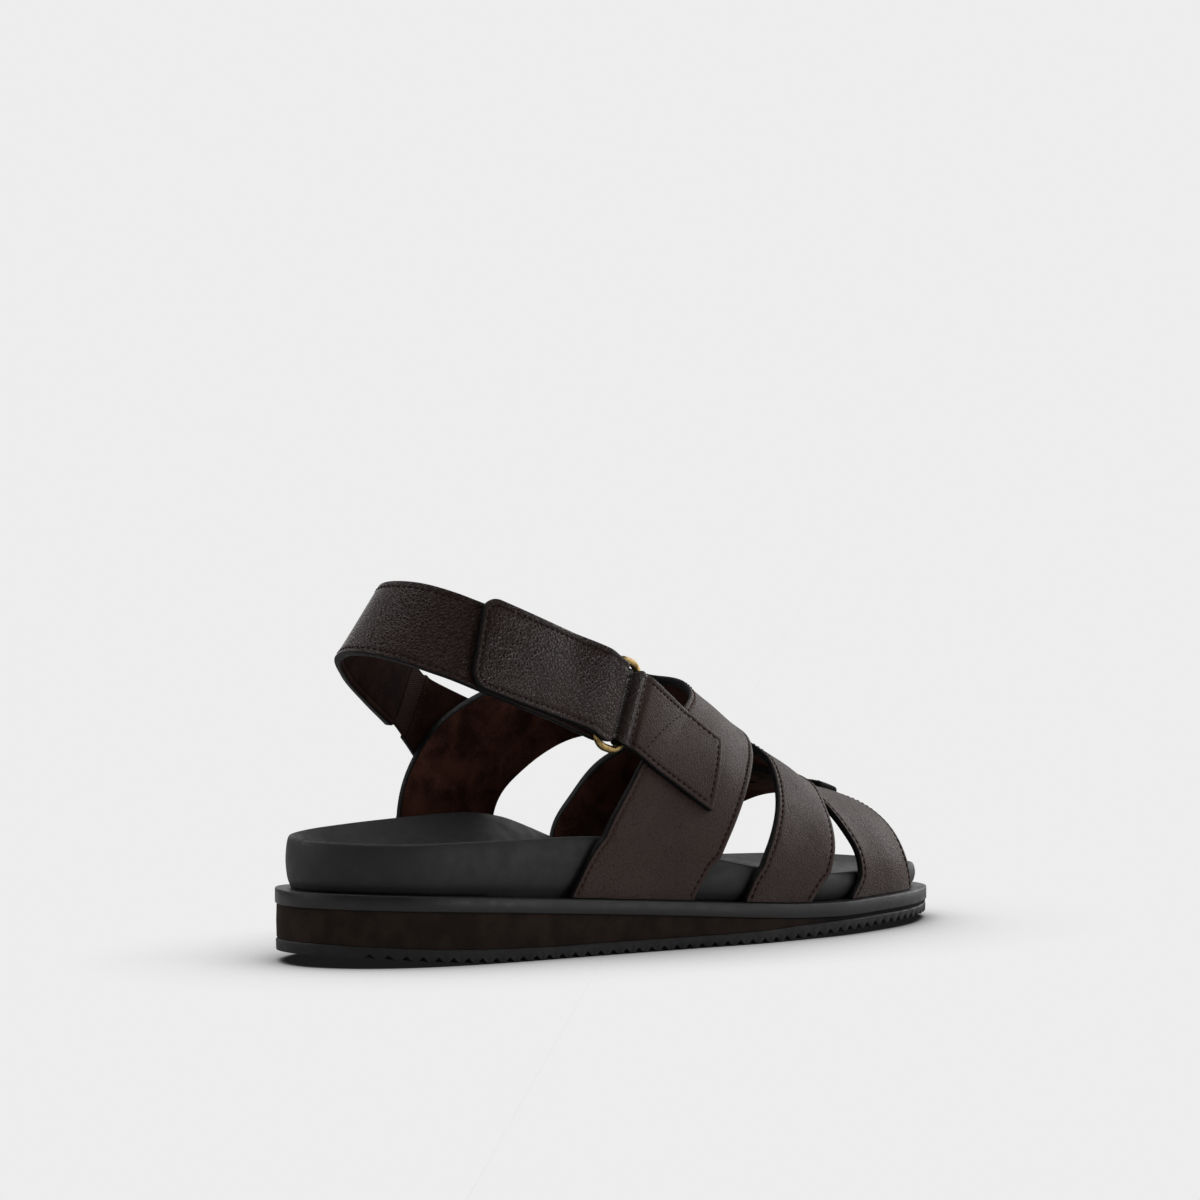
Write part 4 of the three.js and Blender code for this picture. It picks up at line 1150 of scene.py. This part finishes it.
def woven_tape():
    """Brown elastic tape with fine ribs along it."""
    f = Finish("woven_tape", Roughness=0.9, Specular_IOR_Level=0.15)
    values = {"Vector": f.space, "Scale": 420.0, "Distortion": 0.4}
    ribs = f.node("ShaderNodeTexWave", values, bands_direction="Z").outputs["Fac"]
    f.set("Base Color", f.mix(ribs, rgb(0.020, 0.009, 0.0065), rgb(0.042, 0.019, 0.0135)))
    f.set("Normal", f.bump(ribs, 0.0003, 0.6))
    return f.material


def brass():
    """Antique brass: warm metal, darker where it is tarnished, with fine scratches."""
    f = Finish("antique_brass", Metallic=1.0)
    tarnish = f.range(f.noise(420, 5.0, distortion=0.8), 0.4, 0.72)
    f.set("Base Color", f.mix(tarnish, rgb(0.62, 0.43, 0.17), rgb(0.26, 0.16, 0.06)))
    f.set("Roughness", f.range(f.noise(1100, 4.0), 0.3, 0.7, 0.24, 0.42))
    f.set("Normal", f.bump(f.noise(1400, 3.0), 0.00006, 0.6))
    return f.material


def add_area_light(name, place, size, power):
    """A soft box at a place in metres, turned to the sandal."""
    data = bpy.data.lights.new(name, "AREA")
    data.shape = "RECTANGLE"
    data.size, data.size_y = size
    data.energy = power
    light = put_in_scene(name, data)
    light.location = place
    light.visible_camera = False
    light.rotation_euler = (Vector(LIGHT_TARGET) - Vector(place)).to_track_quat("-Z", "Y").to_euler()


def add_world():
    """Even grey light all round, seen by the camera as the backdrop's tone."""
    world = bpy.data.worlds.new("studio")
    bpy.context.scene.world = world
    tree = NodeTree(world)
    light = tree.nodes["Background"]
    tree.fill(light, {"Color": rgb(1, 1, 1), "Strength": WORLD_LIGHT})
    backdrop = tree.node("ShaderNodeBackground", {"Color": tinted((1, 1, 1), BACKGROUND)})
    seen = tree.node("ShaderNodeLightPath").outputs["Is Camera Ray"]
    mixed = tree.node("ShaderNodeMixShader", {0: seen, 1: light.outputs[0], 2: backdrop.outputs[0]})
    tree.fill(tree.nodes["World Output"], {"Surface": mixed.outputs[0]})


def add_floor():
    """A pale glowing floor that looks even, lights the sandal a little and has a painted contact shadow
    close under the sole.
    """
    mesh = bpy.data.meshes.new("floor")
    corners = [(x * FLOOR_REACH, y * FLOOR_REACH, 0) for x, y in ((-1, -1), (1, -1), (1, 1), (-1, 1))]
    mesh.from_pydata(corners, [], [(0, 1, 2, 3)])
    floor = put_in_scene("floor", mesh)
    material = bpy.data.materials.new("pale_floor")
    mesh.materials.append(material)
    tree = NodeTree(material)
    tree.nodes.clear()
    near = tree.node("ShaderNodeAmbientOcclusion", {"Distance": SHADOW_REACH}, samples=16)
    # Painted shadow: the floor's glow darkens where ambient occlusion finds the sole close by.
    shade = tree.node("ShaderNodeMapRange", {"Value": near.outputs["AO"], **FLOOR_SHADE})
    seen = tree.node("ShaderNodeLightPath").outputs["Is Camera Ray"]
    strength = tree.node("ShaderNodeMapRange", {"Value": seen, "To Min": FLOOR_LIGHT})
    glow = tree.node("ShaderNodeEmission", {"Color": shade.outputs[0], "Strength": strength.outputs[0]})
    tree.node("ShaderNodeOutputMaterial", {"Surface": glow.outputs[0]})


def add_studio():
    add_world()
    add_floor()
    for light in LIGHTS:
        add_area_light(*light)


def add_camera():
    data = bpy.data.cameras.new("camera")
    data.sensor_width = 36.0
    data.lens = CAMERA_LENS
    camera = put_in_scene("camera", data)
    camera.location = [v * MM for v in CAMERA_PLACE]
    camera.rotation_euler = (math.radians(90 - CAMERA_TILT), 0, math.radians(CAMERA_HEADING))
    bpy.context.scene.camera = camera


def build():
    lining = suede("suede_lining", rgb(0.028, 0.0105, 0.0075), rgb(0.125, 0.047, 0.031))
    # Painted shade: a much darker copy of the suede lining, for the insides of the heel strap and the tabs,
    # which sit in shade.
    shaded_heel_lining = suede("shaded_heel_lining", rgb(0.009, 0.0036, 0.0028), rgb(0.034, 0.0135, 0.0095))
    edge = painted_edge()
    dark_thread = thread("dark_thread", rgb(0.016, 0.0065, 0.0055), rgb(0.042, 0.018, 0.014))
    light_thread = thread("light_thread", rgb(0.06, 0.026, 0.015), rgb(0.13, 0.06, 0.034))
    strap_leather = leather("strap_leather", LEATHER_BROWN, pebble=0.9, size=0.9, gloss=0.42, shine=0.25)
    heel_leather = leather("heel_leather", GLOSSY_BROWN, pebble=1.45, size=1.25, gloss=0.18, shine=0.29)
    roll_leather = leather("roll_leather", GLOSSY_BROWN, pebble=0.7, size=0.8, gloss=0.16, shine=0.7)
    outsole = smooth_foam("outsole_rubber", (0.016, 0.016, 0.0165), roughness=0.6, grain=0.0002)
    welt = smooth_foam("welt_rubber", (0.021, 0.0205, 0.023), roughness=0.4, grain=0.00008)
    footbed = smooth_foam("footbed_foam", (0.026, 0.026, 0.027), roughness=0.54, grain=0.00008)
    add_outsole(outsole)
    add_band("wedge", "outsole", "wedge", WEDGE_SIDE, wedge_foam(), "midsole")
    add_band("welt_band", "wedge", "welt", WELT_SIDE, welt, "welt", 60)
    add_footbed(footbed)
    add_upper([strap_leather, edge, lining], dark_thread, light_thread)
    add_heel_strap([heel_leather, edge, shaded_heel_lining], dark_thread)
    add_stretch_insert(woven_tape())
    add_inner_tab([strap_leather, edge, shaded_heel_lining], dark_thread)
    add_ring_tab([strap_leather, edge, shaded_heel_lining, roll_leather], dark_thread)
    add_ring(brass())


bpy.context.scene.view_settings.view_transform = "Standard"
build()
add_studio()
add_camera()

bpy.context.view_layer.update()
